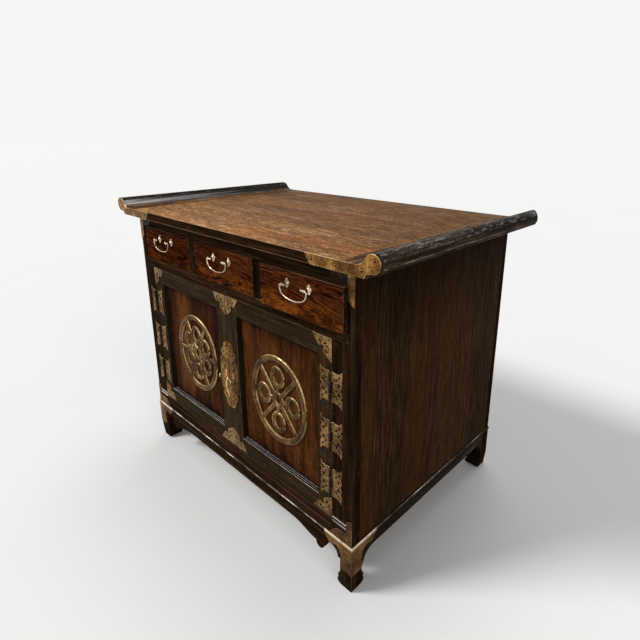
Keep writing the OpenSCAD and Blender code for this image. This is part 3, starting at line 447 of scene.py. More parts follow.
# Painted highlight, bright, for the crests of reeds and beads
BRIGHT_REED_HIGHLIGHT = wood("reed_highlight_wood", (0.1, 0.082, 0.072), (0.5, 0.465, 0.44), (0.85, 0.83, 0.82),
                   "x", figure=24.0, pore_depth=0.2, gloss=0.2, shine=0.05, spread=0.14,
                   speckle=0.4)
PALE = dict(figure=6.0, pore_depth=0.3, gloss=0.55, veins=0.25, vein_scale=22.0,
            dust=(0.1, 0.055, 0.024), dust_share=0.25, dust_scale=18.0)
PALE_BROWN = ((0.15, 0.08, 0.033), (0.27, 0.16, 0.075), (0.39, 0.25, 0.13))
PINE = wood("inner_wood", *PALE_BROWN, "y", **PALE)
PINE_ACROSS = wood("inner_wood_across", *PALE_BROWN, "x", **PALE)
BACK_WOOD = wood("back_wood", (0.04, 0.0205, 0.0085), (0.098, 0.054, 0.024), (0.18, 0.108, 0.053),
                 "z", **{**PALE, "vein_scale": 30.0, "speckle": 0.3, "swirl": 1.2})
SHADOW_WOOD = wood("shadow_wood", (0.0012, 0.0008, 0.0005), (0.0026, 0.0017, 0.001),
                   (0.006, 0.004, 0.0025))
GILT = brass("carved_gilt", (0.013, 0.0056, 0.0012), (0.07, 0.0335, 0.0068), (0.215, 0.118, 0.03),
             roughness=0.42, metal=0.2, cell=170.0, spots=0.3)
# Lighter gilt for the carving's shoulders: partly wear, partly painted highlight
EDGE_GILT = brass("rubbed_highlit_gilt", (0.08, 0.044, 0.014), (0.38, 0.245, 0.095), (0.78, 0.6, 0.33),
                  roughness=0.25, metal=0.5, pits=0.00008, cell=170.0, spots=0.2)
OLD_BRASS = brass("old_brass", (0.024, 0.0105, 0.0028), (0.158, 0.08, 0.0215), (0.4, 0.235, 0.078))
POST_BRASS = brass("dull_brass", (0.012, 0.0044, 0.0012), (0.064, 0.0265, 0.0068),
                   (0.2, 0.098, 0.03), roughness=0.45, metal=0.5, cell=380.0)
FOOT_BRASS = brass("foot_brass", (0.017, 0.0066, 0.0012), (0.105, 0.047, 0.0088),
                   (0.27, 0.14, 0.032), roughness=0.42, metal=0.5, spots=0.3)
# Painted highlight on the lip of the base brasses, darker towards its lower edge
LIP_HIGHLIGHT_BRASS = brass("painted_highlight_lip", (0.28, 0.165, 0.07), (0.74, 0.56, 0.35), (0.96, 0.87, 0.7),
                  roughness=0.25, metal=0.4, pits=0.00005, spots=0.15,
                  fades=((2, 0.1175, 0.1235, 0.3, 1.0),))
LOCK_BRASS = brass("lock_brass", (0.03, 0.012, 0.0022), (0.14, 0.062, 0.0105), (0.36, 0.19, 0.04),
                   roughness=0.42, metal=0.55, spots=0.2)
DARK_BRASS = brass("dark_brass", (0.004, 0.0022, 0.001), (0.015, 0.0078, 0.003),
                   (0.06, 0.034, 0.013), roughness=0.5, metal=0.6)
STRAP_BRASS = brass("strap_brass", (0.06, 0.024, 0.004), (0.16, 0.068, 0.0105),
                    (0.45, 0.235, 0.052), cell=420.0, spots=0.3)
# Softened edges of the brass plates are lighter: partly wear, partly painted highlight
EDGE_BRASS = brass("rubbed_highlit_brass", (0.13, 0.078, 0.03), (0.52, 0.36, 0.165), (0.86, 0.7, 0.42),
                   roughness=0.26, metal=0.95, pits=0.00005, spots=0.15)
NAIL_BRASS = brass("nail_brass", (0.025, 0.0105, 0.003), (0.15, 0.072, 0.018), (0.46, 0.29, 0.11),
                   roughness=0.25, metal=0.95, pits=0.00003, spots=0.1)
GOLD_BRASS = brass("gold_brass", (0.1, 0.058, 0.02), (0.5, 0.335, 0.135), (0.86, 0.68, 0.38),
                   roughness=0.2, metal=1.0, pits=0.00003, spots=0.3)
BRIGHT_BRASS = brass("bright_brass", (0.09, 0.06, 0.032), (0.45, 0.36, 0.24), (0.88, 0.79, 0.63),
                     roughness=0.18, metal=1.0, pits=0.00003, spots=0.35)
STEEL = brass("catch_steel", (0.05, 0.05, 0.05), (0.16, 0.16, 0.16), (0.3, 0.3, 0.3), roughness=0.4,
              metal=0.9, pits=0.0001)

BY_SLOT = {"dark_wood": FRAME_WOOD, "top_wood": TOP_WOOD, "side_wood": SIDE_WOOD,
           "drawer_wood": DRAWER_WOOD, "panel_wood": PANEL_WOOD, "inner_wood": PINE,
           "carved_gilt_wood": GILT, "old_brass": OLD_BRASS, "bright_brass": BRIGHT_BRASS,
           "catch_steel": STEEL}

SLOT_OF = {part["node"]: part["material_slot"] for part in frame["record"]["subparts"]}
BODY_OF = {node: body for body, nodes in frame["record"]["behaviour"]["bodies"].items()
           for node in nodes}
for name, obj in NODES.items():
    obj.data.materials.clear()
    obj.data.materials.append(BY_SLOT.get(SLOT_OF.get(name), FRAME_WOOD))


# Shapes

FRONT = (0, -1, 0)      # direction out of the cabinet's front
ACROSS = (1, 0, 0)
UP = (0, 0, 1)

WELD = 2e-6             # metres within which the corners of a solid's faces are one
FLAT_ANGLE = 0.6        # degrees within which neighbouring faces are joined
SOFT_ANGLE = 28.0       # degrees beyond which an edge is softened
SOFT_STEPS = 2
DRESSED_SHARP = 35      # degrees beyond which an edge of a dressed node is shaded as sharp
WIRE_SIDES = 16
POINT_R = 1e-4          # millimetres below which a turned profile closes in a point


def new_piece(name, bm, body, materials, replaces, sharp):
    """A piece that rides on a body. Its shading is smooth up to the angle sharp, in degrees,
    and flat where that is 0."""
    mesh = bpy.data.meshes.new(name)
    bm.normal_update()
    bm.to_mesh(mesh)
    bm.free()
    for material in materials:
        mesh.materials.append(material)
    obj = bpy.data.objects.new(name, mesh)
    bpy.context.scene.collection.objects.link(obj)
    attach(obj, body)
    if replaces:
        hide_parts(*replaces)
    if sharp:
        mesh.shade_smooth()
        mesh.set_sharp_from_angle(angle=radians(sharp))
        weighted = obj.modifiers.new("weighted_normals", "WEIGHTED_NORMAL")
        weighted.keep_sharp = True


def shaped_piece(name, bm, body, materials, replaces=(), sharp=0):
    """A piece of closed shapes that were built here, whose faces have yet to turn outwards."""
    bmesh.ops.recalc_face_normals(bm, faces=bm.faces)
    new_piece(name, bm, body, materials, replaces, sharp)


def dress(node, materials, width, pick=None, cuts=()):
    """A copy of a node with edges softened by width in millimetres. The last material goes on
    the softened edges, and pick(face) gives the number of the one on any other face. Faces are
    divided at each X in cuts."""
    bm = bmesh.new()
    bm.from_mesh(NODES[node].data)
    bmesh.ops.remove_doubles(bm, verts=bm.verts, dist=WELD)
    bmesh.ops.dissolve_limit(bm, angle_limit=radians(FLAT_ANGLE), verts=bm.verts, edges=bm.edges)
    edges = [edge for edge in bm.edges
             if len(edge.link_faces) == 2 and edge.calc_face_angle(0) > radians(SOFT_ANGLE)]
    rounded = bmesh.ops.bevel(bm, geom=edges, offset=width * MM, segments=SOFT_STEPS, profile=0.5,
                              affect="EDGES", clamp_overlap=True)["faces"]
    for x in cuts:
        parts = list(bm.verts) + list(bm.edges) + list(bm.faces)
        bmesh.ops.bisect_plane(bm, geom=parts, plane_co=(x, 0, 0), plane_no=ACROSS)
    bm.normal_update()
    if pick:
        for face in bm.faces:
            face.material_index = pick(face)
    for face in rounded:
        if face.is_valid:
            face.material_index = len(materials) - 1
    new_piece(node + "_finish", bm, BODY_OF[node], materials, (node,), DRESSED_SHARP)


def ring_faces(bm, rings, closed):
    """Joins rings of vertices with quads, and the last ring with the first where closed."""
    sides = len(rings[0])
    for i in range(len(rings) if closed else len(rings) - 1):
        a, b = rings[i], rings[(i + 1) % len(rings)]
        for j in range(sides):
            k = (j + 1) % sides
            bm.faces.new((a[j], a[k], b[k], b[j]))


def circle(bm, centre, u, v, r, sides):
    """Vertices on a circle in the plane of u and v."""
    turns = [2 * pi * j / sides for j in range(sides)]
    return [bm.verts.new(centre + (u * cos(turn) + v * sin(turn)) * r) for turn in turns]


def tube(bm, points, radius, closed=False):
    """A round wire along points; radius is a number or a function of the share along it."""
    points = [Vector(point) for point in points]
    count = len(points)
    rings = []
    normal = None
    for i, point in enumerate(points):
        before = points[i - 1] if closed or i else point
        after = points[(i + 1) % count] if closed or i < count - 1 else point
        ahead = (after - before).normalized()
        if normal is None:
            normal = ahead.orthogonal().normalized()
        normal = (normal - ahead * normal.dot(ahead)).normalized()
        r = radius(i / (count - 1)) if callable(radius) else radius
        rings.append(circle(bm, point, normal, ahead.cross(normal), r, WIRE_SIDES))
    ring_faces(bm, rings, closed)
    if not closed:
        bm.faces.new(rings[0])
        bm.faces.new(list(reversed(rings[-1])))


def lathe(bm, profile, place, axis, sides):
    """Turns a profile of (radius, height) in millimetres about an axis through place."""
    axis = Vector(axis)
    u = axis.orthogonal().normalized()
    v = axis.cross(u)
    rings = []
    for r, h in profile:
        centre = Vector(place) + axis * (h * MM)
        rings.append([bm.verts.new(centre)] if r < POINT_R
                     else circle(bm, centre, u, v, r * MM, sides))
    for a, b in zip(rings, rings[1:]):
        for j in range(sides):
            k = (j + 1) % sides
            corners = [a[j % len(a)], a[k % len(a)], b[k % len(b)], b[j % len(b)]]
            bm.faces.new(list(dict.fromkeys(corners)))


def ball(r, h, steps):
    """Profile of a ball with radius r and half height h."""
    return [(r * sin(pi * i / steps), h * cos(pi * i / steps)) for i in range(steps + 1)]


def arc(centre, r, start, end, steps):
    """Points on an arc, in degrees, of a flat drawing."""
    turns = [radians(start + (end - start) * i / steps) for i in range(steps + 1)]
    return [(centre[0] + r * cos(turn), centre[1] + r * sin(turn)) for turn in turns]


# Cabinet, doors and drawers: softened edges on the frame's own solids

# Beads on front faces: heights that they lie between, and the Y that they stand in front of
JAMB_BEAD = (0.1700, 0.1725, -0.2860)
UPPER_RAIL_BEAD = (0.1610, 0.1637, -0.2860)
LOWER_RAIL_BEAD = (0.1405, 0.1450, -0.2859)
APRON_BEAD = (0.1217, 0.1253, -0.2873)
SIDE_BEAD_LOW, SIDE_BEAD_HIGH = 0.1222, 0.1253
FOOT_LIP_LOW = 0.1125     # the lip of the base brasses starts here

DOOR_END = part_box("door_right_frame")[1].x
OPEN_LOW, OPEN_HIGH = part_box("door_right_moulding")
SEAM = 0.001              # a door's rails reach this far past the opening in its frame
ARM_END = 0.4005          # the front frame's brasses have their arms inside this X
FRAME_MIDDLE = 0.3        # height between the front frame's upper and lower brasses
LEVEL_TOP = 0.757         # the level part of the flanges lies below this height
HOLLOW_TOP = 0.768        # and the hollow side of their curve below this one


def front_edge(face):
    """The board of the top is dark on its front edge and brown elsewhere."""
    return 1 if face.normal.y < -0.5 else 0


def drawer_rim(face):
    """A drawer front is figured on its face and dark on its four edges."""
    return 1 if abs(face.normal.y) < 0.7 else 0


def on_bead(low, high, y):
    """Picks the faces of a bead, which carry a painted highlight, brown or bright."""
    def pick(face):
        centre = face.calc_center_median()
        return 1 if low < centre.z < high and centre.y < y else 0
    return pick


def flange_part(face):
    """A rolled end is rubbed on its inner side, where the left one carries a painted reflection on
    its curve instead; it is scuffed on its crest, has a thin painted highlight line outside, and is
    dark elsewhere."""
    dark, painted_reflection, scuffed, rubbed, highlight_line = range(5)
    centre, normal = face.calc_center_median(), face.normal
    if abs(normal.y) > 0.5:
        return dark
    outward = normal.x if centre.x > 0 else -normal.x
    if centre.z < LEVEL_TOP and normal.z > 0.9:
        return rubbed
    if centre.z < HOLLOW_TOP and outward < 0.1 and normal.z > -0.3:
        return rubbed if centre.x > 0 else painted_reflection
    # A thin painted highlight line on the outer side
    if outward > 0.5 and -0.40 < normal.z < -0.25:
        return highlight_line
    return scuffed if normal.z > 0.45 else dark


def side_bead(face):
    """The bead on a side apron carries a painted highlight, but not its outermost face."""
    height = face.calc_center_median().z
    return 1 if SIDE_BEAD_LOW < height < SIDE_BEAD_HIGH and abs(face.normal.x) < 0.95 else 0


def on_door_rail(face):
    """Faces between the stiles of a door belong to its rails."""
    x = abs(face.calc_center_median().x)
    return 1 if OPEN_LOW.x - SEAM < x < OPEN_HIGH.x + SEAM else 0


def rail_bead(face):
    """The beads of the rail under the doors carry a dim painted highlight, and the upper one a
    bright painted highlight beside the doors, where they cast no shade on it.
    """
    plain, lighter, bright = range(3)
    if on_bead(*UPPER_RAIL_BEAD)(face):
        return bright if abs(face.calc_center_median().x) > DOOR_END else lighter
    return lighter if on_bead(*LOWER_RAIL_BEAD)(face) else plain


def frame_brass(face):
    """The upper arms on the rail are darkened with painted shadow under the strap, and the lower
    brasses are dull.
    """
    plain, dull, dark = range(3)
    centre = face.calc_center_median()
    if centre.z < FRAME_MIDDLE:
        return dull
    return dark if abs(centre.x) < ARM_END else plain


def foot_lip(face):
    """The lip of the base brasses carries a painted highlight, but not its level top."""
    return 1 if face.calc_center_median().z > FOOT_LIP_LOW and face.normal.z < 0.9 else 0


# Places on the front in millimetres, on the right: the hinges' pins, the middle of the lock
# plate, and the doors' corner plates by their square corner, the directions that the two legs
# take from it, and the legs' lengths
HINGE_X, HINGE_Z, HINGE_PITCH = 358.5, 369.0, 111.5
BARREL_REACH = 3.6
LOCK_X, LOCK_Z = 1, 370
CORNER_PLATES = ((360, 583, -1, -1, 52, 51), (360, 167, -1, 1, 56, 50),
                 (1, 583, 1, -1, 51, 50), (1, 167, 1, 1, 55, 50))


def on_barrel(face):
    """The rolled edge of a leaf, which is coloured dark."""
    off = abs(abs(face.calc_center_median().x) - HINGE_X * MM)
    return 1 if off < BARREL_REACH * MM else 0


SIDES = (("left", -1), ("right", 1))
DRAWERS = ("left", "middle", "right")

for node, material, edge in (
        ("top_rail", RAIL_WOOD, EDGE_WOOD), ("middle_rail", RAIL_WOOD, EDGE_WOOD),
        ("drawer_dividers", FRAME_WOOD, EDGE_WOOD), ("base_rear_apron", RAIL_WOOD, EDGE_WOOD),
        ("front_posts", FRAME_WOOD, DIM_EDGE_WOOD), ("rear_posts", FRAME_WOOD, EDGE_WOOD),
        ("base_legs", FRAME_WOOD, DIM_EDGE_WOOD), ("side_panel_left", SIDE_WOOD, DIM_EDGE_WOOD),
        ("side_panel_right", SIDE_WOOD, DIM_EDGE_WOOD)):
    dress(node, (material, edge), 1.0)
dress("top_end_flanges", (FLANGE_WOOD, SHEEN_WOOD, SCUFFED_WOOD, RUBBED_WOOD, HIGHLIGHT_LINE_WOOD), 1.0,
      flange_part)
# The jambs' bead carries a bright painted highlight
dress("hinge_jambs", (FRAME_WOOD, BRIGHT_REED_HIGHLIGHT, DIM_EDGE_WOOD), 1.0, on_bead(*JAMB_BEAD))
dress("base_side_aprons", (FLANGE_WOOD, SIDE_BEAD_HIGHLIGHT_WOOD, EDGE_WOOD), 0.8, side_bead)
for which in DRAWERS:
    dress(f"drawer_{which}_front", (DRAWER_WOOD, RAIL_WOOD, EDGE_WOOD), 1.0, drawer_rim)
for side, _ in SIDES:
    dress(f"door_{side}_frame", (DOOR_WOOD, DOOR_RAIL_WOOD, EDGE_WOOD), 1.0, on_door_rail)
dress("top_panel", (TOP_WOOD, RAIL_WOOD, TOP_EDGE_WOOD), 1.2, front_edge)
# The front apron's bead carries a painted highlight
dress("base_front_apron", (RAIL_WOOD, BEAD_HIGHLIGHT_WOOD, EDGE_WOOD), 0.8, on_bead(*APRON_BEAD))
dress("bottom_rail", (RAIL_WOOD, REED_HIGHLIGHT_WOOD, BRIGHT_REED_HIGHLIGHT, EDGE_WOOD), 0.8, rail_bead,
      (-DOOR_END, DOOR_END))

INNER_WOOD = [("back_panel", BACK_WOOD), ("drawer_runners", PINE), ("dust_panel", PINE_ACROSS),
              ("cupboard_floor", PINE_ACROSS), ("shelf", PINE_ACROSS), ("shelf_cleats", PINE),
              ("door_left_panel", PANEL_WOOD), ("door_right_panel", PANEL_WOOD)]
for which in DRAWERS:
    INNER_WOOD += [(f"drawer_{which}_box", PINE), (f"drawer_{which}_bottom", PINE)]
for node, material in INNER_WOOD:
    dress(node, (material, material), 0.6)

dress("top_corner_brasses", (STRAP_BRASS, EDGE_BRASS), 0.8)
dress("frame_corner_brasses", (OLD_BRASS, POST_BRASS, DARK_BRASS, OLD_BRASS), 0.4, frame_brass,
      (-ARM_END, ARM_END))
dress("hinge_post_leaves", (OLD_BRASS, DARK_BRASS, EDGE_BRASS), 0.4, on_barrel)
for side, _ in SIDES:
    dress(f"door_{side}_hinge_leaves", (OLD_BRASS, DARK_BRASS, EDGE_BRASS), 0.4, on_barrel)
    dress(f"door_{side}_corner_plates", (OLD_BRASS, EDGE_BRASS), 0.4)
    dress(f"door_{side}_lock_plate", (LOCK_BRASS, OLD_BRASS), 0.4)
dress("base_corner_brasses", (FOOT_BRASS, LIP_HIGHLIGHT_BRASS, EDGE_BRASS), 0.3, foot_lip)


# Nails: round heads that seat on the brass plates, each in a thin dark ring

NAIL_SIDES = 14
NAIL_STEPS = 4
NAIL_SINK = 0.00005
STRAP_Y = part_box("top_corner_brasses")[0].y
PLATE_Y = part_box("frame_corner_brasses")[0].y
# X and Z in millimetres
STRAP_SPOTS = ((331, 741), (391, 740), (453, 742.5), (479.5, 763.5))
POST_SPOTS = ((411, 712), (409.5, 690), (409, 668), (409.5, 134), (409.5, 172), (386, 134))


def nails(name, body, y, spots, r, h):
    """Nail heads of radius r and height h on a front face at y; all but y in millimetres."""
    bm = bmesh.new()
    head = [(r, 0.0)] + [(r * cos(pi / 2 * i / NAIL_STEPS), h * sin(pi / 2 * i / NAIL_STEPS))
                         for i in range(1, NAIL_STEPS)] + [(0.0, h)]
    ring = [(r * 1.5, 0.0), (r * 1.5, 0.12), (r * 0.9, 0.12)]
    for x, z in spots:
        place = (x * MM, y + NAIL_SINK, z * MM)
        lathe(bm, head, place, FRONT, NAIL_SIDES)
        first = len(bm.faces)
        lathe(bm, ring, place, FRONT, NAIL_SIDES)
        bm.faces.ensure_lookup_table()
        for index in range(first, len(bm.faces)):
            bm.faces[index].material_index = 1
    shaped_piece(name, bm, body, (NAIL_BRASS, SHADOW_WOOD), sharp=60)


def both_sides(spots):
    return [(s * x, z) for x, z in spots for s in (-1, 1)]


def door_spots(s):
    """Nails near the square corner and the two ends of each corner plate of a door."""
    spots = []
    for corner_x, corner_z, to_x, to_z, a, b in CORNER_PLATES:
        for u, v in ((5, 5), (a * 0.47, 4.5), (4.5, b * 0.47), (a * 0.85, 3.5), (3.5, b * 0.85)):
            spots.append((s * (corner_x + to_x * u), corner_z + to_z * v))
    return spots


nails("strap_nails", "cabinet", STRAP_Y, both_sides(STRAP_SPOTS), 2.6, 1.9)
nails("post_nails", "cabinet", PLATE_Y, both_sides(POST_SPOTS), 1.5, 0.9)
for side, s in SIDES:
    nails(f"door_{side}_nails", f"door_{side}", PLATE_Y, door_spots(s), 1.4, 0.8)


# Dark scroll-shaped piercings of the plates

LEAF_FACE = PLATE_Y - 0.4 * MM
SCROLL_RISE, SCROLL_SINK = 0.08 * MM, 0.2 * MM
# Places on one plate, radius, and the direction in degrees that a crescent opens towards; places
# are in millimetres, and on the corner plates shares of the two legs
LEAF_SCROLLS = ((23.5, 8.6, 4.3, -35), (13.5, 19.5, 4.0, 140), (25.0, 27.0, 3.3, -60),
                (23.5, -8.6, 4.3, 35), (13.5, -19.5, 4.0, -140), (25.0, -27.0, 3.3, 60))
CORNER_SCROLLS = ((0.62, 0.29, 4.0, 30), (0.29, 0.62, 4.0, 60), (0.44, 0.14, 3.2, 200),
                  (0.14, 0.44, 3.2, 250))
LOCK_SCROLLS = ((20.0, 19.0, 4.6, 20), (12.5, 37.0, 4.2, 150), (22.0, 43.0, 3.8, -30),
                (8.0, 70.0, 3.2, 60))


def scrolls(name, body, y, spots):
    """Crescents on a front face at y; spots lists X, Z, radius and direction."""
    bm = bmesh.new()
    for x, z, r, turn in spots:
        outline = arc((0, 0), r, 42, 318, 14) + arc((r * 0.42, 0), r * 0.66, 300, 60, 12)
        c, s = cos(radians(turn)), sin(radians(turn))
        points = [((x + px * c - pz * s) * MM, (z + px * s + pz * c) * MM) for px, pz in outline]
        front = [bm.verts.new((px, y - SCROLL_RISE, pz)) for px, pz in points]
        back = [bm.verts.new((px, y + SCROLL_SINK, pz)) for px, pz in points]
        bm.faces.new(front)
        bm.faces.new(list(reversed(back)))
        ring_faces(bm, [front, back], False)
    shaped_piece(name, bm, body, (SHADOW_WOOD,))


def leaf_scrolls(out):
    """Piercings of the leaves on one side of the hinge axis: out is 1 for the post's."""
    return [(HINGE_X + out * u, HINGE_Z + k * HINGE_PITCH + v, r, turn if out > 0 else 180 - turn)
            for k in (-1, 0, 1) for u, v, r, turn in LEAF_SCROLLS]


def door_scrolls():
    """Piercings of a door's corner plates and of its half of the lock plate."""
    spots = []
    for corner_x, corner_z, to_x, to_z, a, b in CORNER_PLATES:
        for u, v, r, turn in CORNER_SCROLLS:
            angle = degrees(atan2(to_z * sin(radians(turn)), to_x * cos(radians(turn))))
            spots.append((corner_x + to_x * u * a, corner_z + to_z * v * b, r, angle))
    return spots + [(LOCK_X + x, LOCK_Z + s * z, r, s * turn)
                    for x, z, r, turn in LOCK_SCROLLS for s in (-1, 1)]


def turned_over(spots):
    return [(-x, z, r, 180 - turn) for x, z, r, turn in spots]


scrolls("door_right_scrolls", "door_right", PLATE_Y, door_scrolls())
scrolls("door_left_scrolls", "door_left", PLATE_Y, turned_over(door_scrolls()))
scrolls("door_right_leaf_scrolls", "door_right", LEAF_FACE, leaf_scrolls(-1))
scrolls("door_left_leaf_scrolls", "door_left", LEAF_FACE, turned_over(leaf_scrolls(-1)))
scrolls("post_scrolls", "cabinet", LEAF_FACE, leaf_scrolls(1) + turned_over(leaf_scrolls(1)))


# Doors

REEDS = 3
REED_POINTS = 8            # points across one reed
REED_WIDTH = 2.6 * MM
REED_RISE = 0.9 * MM
CREST = (2, 3)             # the strips of a reed that catch the light

BAND_STEPS = 12            # strips across a carved band
BAND_POWER = 2.1           # how square its shoulders are: 2 is an ellipse
BAND_SINK = 0.4 * MM       # how far a band reaches into the panel
RIM, BAR = 16 * MM, 10.5 * MM
TIE_INTO_RIM = 3 * MM
# Shares of a roundel's half height: radius of the ring in the middle, reach of the inner ties,
# and after the count of petals their distance and radius
HUB = 0.15
INNER_TIE = 0.33
PETALS = {"left": (6, 0.49, 0.19), "right": (4, 0.52, 0.2)}


def door_moulding(side):
    """Three rounded reeds that lead down from the frame to the panel, mitred at the corners."""
    node = f"door_{side}_moulding"
    low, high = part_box(node)
    step_back = (high.y - low.y) / REEDS
    last = REED_POINTS - 1
    profile = []
    for k in range(REEDS):
        for i in range(REED_POINTS):
            a = pi * i / last
            y = low.y + step_back * k + REED_RISE * (1 - sin(a))
            profile.append((REED_WIDTH * (k + 0.5 - 0.5 * cos(a)),
                            y + (step_back * i / last if i > 4 else 0)))
    profile += [(REED_WIDTH * REEDS, high.y), (0.0, high.y)]
    bm = bmesh.new()
    rings = []
    for sx, sz in ((0, 0), (1, 0), (1, 1), (0, 1)):
        rings.append([bm.verts.new((high.x - inset if sx else low.x + inset, y,
                                    high.z - inset if sz else low.z + inset))
                      for inset, y in profile])
    ring_faces(bm, rings, True)
    bottom, _, top, _ = range(4)
    # Painted highlights on the reeds' crests: bright along the bottom, which faces up to the light,
    # and dim on the last reed of the top
    _, lighter, bright = range(3)
    for index, face in enumerate(bm.faces):
        length, place = divmod(index, len(profile))
        reed, strip = divmod(place, REED_POINTS)
        if reed < REEDS and strip in CREST:
            if length == bottom:
                face.material_index = bright
            elif length == top and reed == REEDS - 1:
                face.material_index = lighter
    shaped_piece(f"door_{side}_reeds", bm, f"door_{side}",
                 (MOULDING_WOOD, REED_HIGHLIGHT_WOOD, BRIGHT_REED_HIGHLIGHT), (node,), 50)


def band(bm, path, width, height, y0, closed):
    """A carved band with rounded shoulders along a path in X and Z, rising towards the front."""
    count = len(path)
    rings = []
    for i, (x, z) in enumerate(path):
        ax, az = path[i - 1] if closed or i else path[i]
        bx, bz = path[(i + 1) % count] if closed or i < count - 1 else path[i]
        length = hypot(bx - ax, bz - az)
        nx, nz = -(bz - az) / length, (bx - ax) / length
        ring = [bm.verts.new((x - nx * width / 2, y0 + BAND_SINK, z - nz * width / 2))]
        for j in range(BAND_STEPS + 1):
            s = -cos(pi * j / BAND_STEPS)
            h = height * (1 - abs(s) ** BAND_POWER) ** (1 / BAND_POWER)
            ring.append(bm.verts.new((x + nx * s * width / 2, y0 - h, z + nz * s * width / 2)))
        ring.append(bm.verts.new((x + nx * width / 2, y0 + BAND_SINK, z + nz * width / 2)))
        rings.append(ring)
    first = len(bm.faces)
    ring_faces(bm, rings, closed)
    bm.faces.ensure_lookup_table()
    shoulders = (2, 3, BAND_STEPS - 1, BAND_STEPS)
    for index in range(first, len(bm.faces)):
        face = bm.faces[index]
        face.normal_update()
        # Shoulders that face up or down get the lighter gilt: partly wear, partly painted highlight
        upward = abs(face.normal.x) * 0.2 + abs(face.normal.z)
        lighter = (index - first) % len(rings[0]) in shoulders and upward > 0.25
        face.material_index = 1 if lighter else 0
    if not closed:
        bm.faces.new(list(reversed(rings[0])))
        bm.faces.new(rings[-1])


def carved_roundel(side):
    """An oval rim round a pattern of rings tied by bars, all with rounded shoulders."""
    node = f"door_{side}_roundel"
    low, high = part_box(node)
    centre = (low + high) / 2
    half = (high.z - low.z) / 2
    rise = high.y - low.y
    narrow = (high.x - low.x) / 2 / half

    def oval(x, z, r, steps):
        turns = [2 * pi * i / steps for i in range(steps)]
        return [(centre.x + x + narrow * r * cos(turn), centre.z + z + r * sin(turn))
                for turn in turns]

    def polar(angle, out):
        return (narrow * out * cos(radians(angle)), out * sin(radians(angle)))

    bm = bmesh.new()
    band(bm, oval(0, 0, half - RIM / 2, 128), RIM * 0.96, rise * 0.97, high.y, True)
    hub = half * HUB
    band(bm, oval(0, 0, hub, 40), BAR, rise * 0.88, high.y, True)
    petals, petal_out, petal_r = PETALS[side]
    for k in range(petals):
        turn = 90 + 360 / petals * k
        petal = oval(*polar(turn, half * petal_out), half * petal_r, 48)
        band(bm, petal, BAR, rise * 0.88, high.y, True)
        ties = [(turn + 180 / petals, half - RIM + TIE_INTO_RIM)]
        if side == "right":
            ties.append((turn, half * INNER_TIE))
        for angle, far in ties:
            a, b = polar(angle, hub), polar(angle, far)
            path = [(centre.x + a[0] + (b[0] - a[0]) * t / 8,
                     centre.z + a[1] + (b[1] - a[1]) * t / 8) for t in range(9)]
            band(bm, path, BAR, rise * 0.84, high.y, False)
    shaped_piece(f"door_{side}_carving", bm, f"door_{side}",
                 (GILT, EDGE_GILT), (node,), 60)


for side, _ in SIDES:
    door_moulding(side)
    carved_roundel(side)


# Pulls: turned posts on domed back plates, and bails. Profiles are in millimetres

PLATE_R = 7.2
POST_PROFILE = ((PLATE_R, 0.0), (PLATE_R, 0.7), (6.7, 1.4), (5.9, 1.5), (5.5, 2.3), (4.6, 3.4),
                (3.4, 4.3), (2.9, 5.6), (2.4, 7.5), (2.5, 9.6), (2.2, 11.5))
LOBE_PROFILE = ((3.8, 0.0), (3.8, 0.8), (3.2, 1.5), (0.0, 1.9))
LOBE_OFF = 6.5 * MM
PIVOT_OUT = 14 * MM        # from a drawer's face to the axis of its bail
BAIL_WIRE = 1.9 * MM
BAIL_TAPER = 0.24          # share of its radius that a bail loses at its middle
BAIL_ELBOW = 4 * MM
BAIL_OUT = 7 * MM          # from the middle of a post to the outer side of the bail
BAIL_IN = 7.5 * MM         # and to the knob at its end
BAIL_SIDE = 0.85           # radius of the bail's sides, as a share of their fall


def posts(which, x, y, z, half):
    """Two posts, half to each side of x, on a drawer's face at y."""
    bm = bmesh.new()
    for s in (-1, 1):
        post_x = x + s * half
        lathe(bm, POST_PROFILE, (post_x, y, z), FRONT, 40)
        for up in (-1, 1):
            lathe(bm, LOBE_PROFILE, (post_x, y, z + up * LOBE_OFF), FRONT, 28)
        lathe(bm, ball(4.5, -2.7, 12), (post_x, y - PIVOT_OUT, z), ACROSS, 32)
    shaped_piece(f"drawer_{which}_posts", bm, f"drawer_{which}", (BRIGHT_BRASS,),
                 (f"drawer_{which}_pull_posts",), 40)


def bail(which, x, y, z, half):
    """The bail that swings in two such posts: two elbows, two sides and a long low curve."""
    node = f"drawer_{which}_bail"
    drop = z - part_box(node)[0].z - BAIL_WIRE
    fall = drop - BAIL_ELBOW
    side_r = BAIL_SIDE * fall
    elbow_x = half + BAIL_OUT - BAIL_ELBOW
    reach = half + BAIL_OUT - side_r
    low_r = (reach * reach + fall * fall - side_r * side_r) / (2 * (fall - side_r))
    turn = degrees(atan2(low_r - fall, reach))
    inner = half - BAIL_IN
    right = [(inner, 0.0), ((inner + elbow_x) / 2, 0.0)]
    right += arc((elbow_x, -BAIL_ELBOW), BAIL_ELBOW, 90, 0, 8)
    right += arc((reach, -BAIL_ELBOW), side_r, 0, -turn, 10)[1:]
    bottom = arc((0, low_r - drop), low_r, -turn, -180 + turn, 24)[1:-1]
    left = [(-px, pz) for px, pz in reversed(right)]
    path = [(x + px, y - PIVOT_OUT, z + pz) for px, pz in right + bottom + left]
    bm = bmesh.new()
    tube(bm, path, lambda share: BAIL_WIRE * (1 - BAIL_TAPER * sin(pi * share)))
    for s in (-1, 1):
        lathe(bm, ball(2.75, 2.2, 8), (x + s * inner, y - PIVOT_OUT, z), ACROSS, 20)
    shaped_piece(f"drawer_{which}_handle", bm, f"bail_{which}", (BRIGHT_BRASS,),
                 (node,), 50)


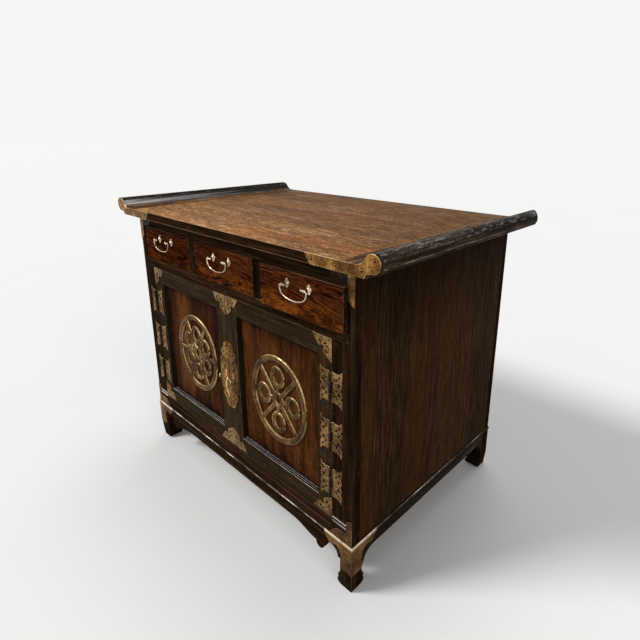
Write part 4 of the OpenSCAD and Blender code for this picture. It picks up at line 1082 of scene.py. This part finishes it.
for which in DRAWERS:
    low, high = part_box(f"drawer_{which}_pull_posts")
    pull = ((low.x + high.x) / 2, high.y, (low.z + high.z) / 2, (high.x - low.x) / 2 - PLATE_R * MM)
    posts(which, *pull)
    bail(which, *pull)


# Eyes on the lock plate, and the drop ring

EYE_WIRE = 1.5 * MM
EYE_COLLAR = ((3.1, 0.0), (3.0, 0.5), (2.4, 0.9), (1.5, 1.1))
RING_WIRE = 1.8 * MM
RING_KNOB = 2.4


def eye(side):
    """A loop of wire that stands out of the lock plate, with a collar round each end."""
    node = f"door_{side}_eye"
    low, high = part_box(node)
    x, z = (low.x + high.x) / 2, (low.z + high.z) / 2
    half = (high.z - low.z) / 2 - EYE_WIRE
    bend_y = low.y + EYE_WIRE + half
    loop = [(x, bend_y - half * sin(radians(a)), z + half * cos(radians(a)))
            for a in range(0, 181, 12)]
    bm = bmesh.new()
    tube(bm, [(x, high.y, z + half)] + loop + [(x, high.y, z - half)], EYE_WIRE)
    for s in (-1, 1):
        lathe(bm, EYE_COLLAR, (x, high.y, z + s * half), FRONT, 24)
    shaped_piece(f"door_{side}_loop", bm, f"door_{side}", (GOLD_BRASS,),
                 (node,), 50)


def drop_ring():
    """A ring that narrows downwards to a small ball."""
    low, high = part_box("drop_ring")
    x, y = (low.x + high.x) / 2, (low.y + high.y) / 2
    r = (high.x - low.x) / 2 - RING_WIRE
    top = high.z - RING_WIRE
    length = top - low.z - RING_KNOB * MM
    fall = length - r
    side_r = (fall * fall + r * r) / (2 * r)
    turn = degrees(asin(fall / side_r))
    right = arc((0, top - r), r, 90, 0, 12) + arc((r - side_r, top - r), side_r, 0, -turn, 14)[1:]
    left = [(-px, pz) for px, pz in reversed(right)][1:-1]
    bm = bmesh.new()
    tube(bm, [(x + px, y, pz) for px, pz in right + left], RING_WIRE, closed=True)
    lathe(bm, ball(RING_KNOB, RING_KNOB, 10), (x, y, top - length), UP, 24)
    shaped_piece("lock_ring", bm, "drop_ring", (GOLD_BRASS,), ("drop_ring",), 50)


for side, _ in SIDES:
    eye(side)
drop_ring()


low, high = CAD_BOX
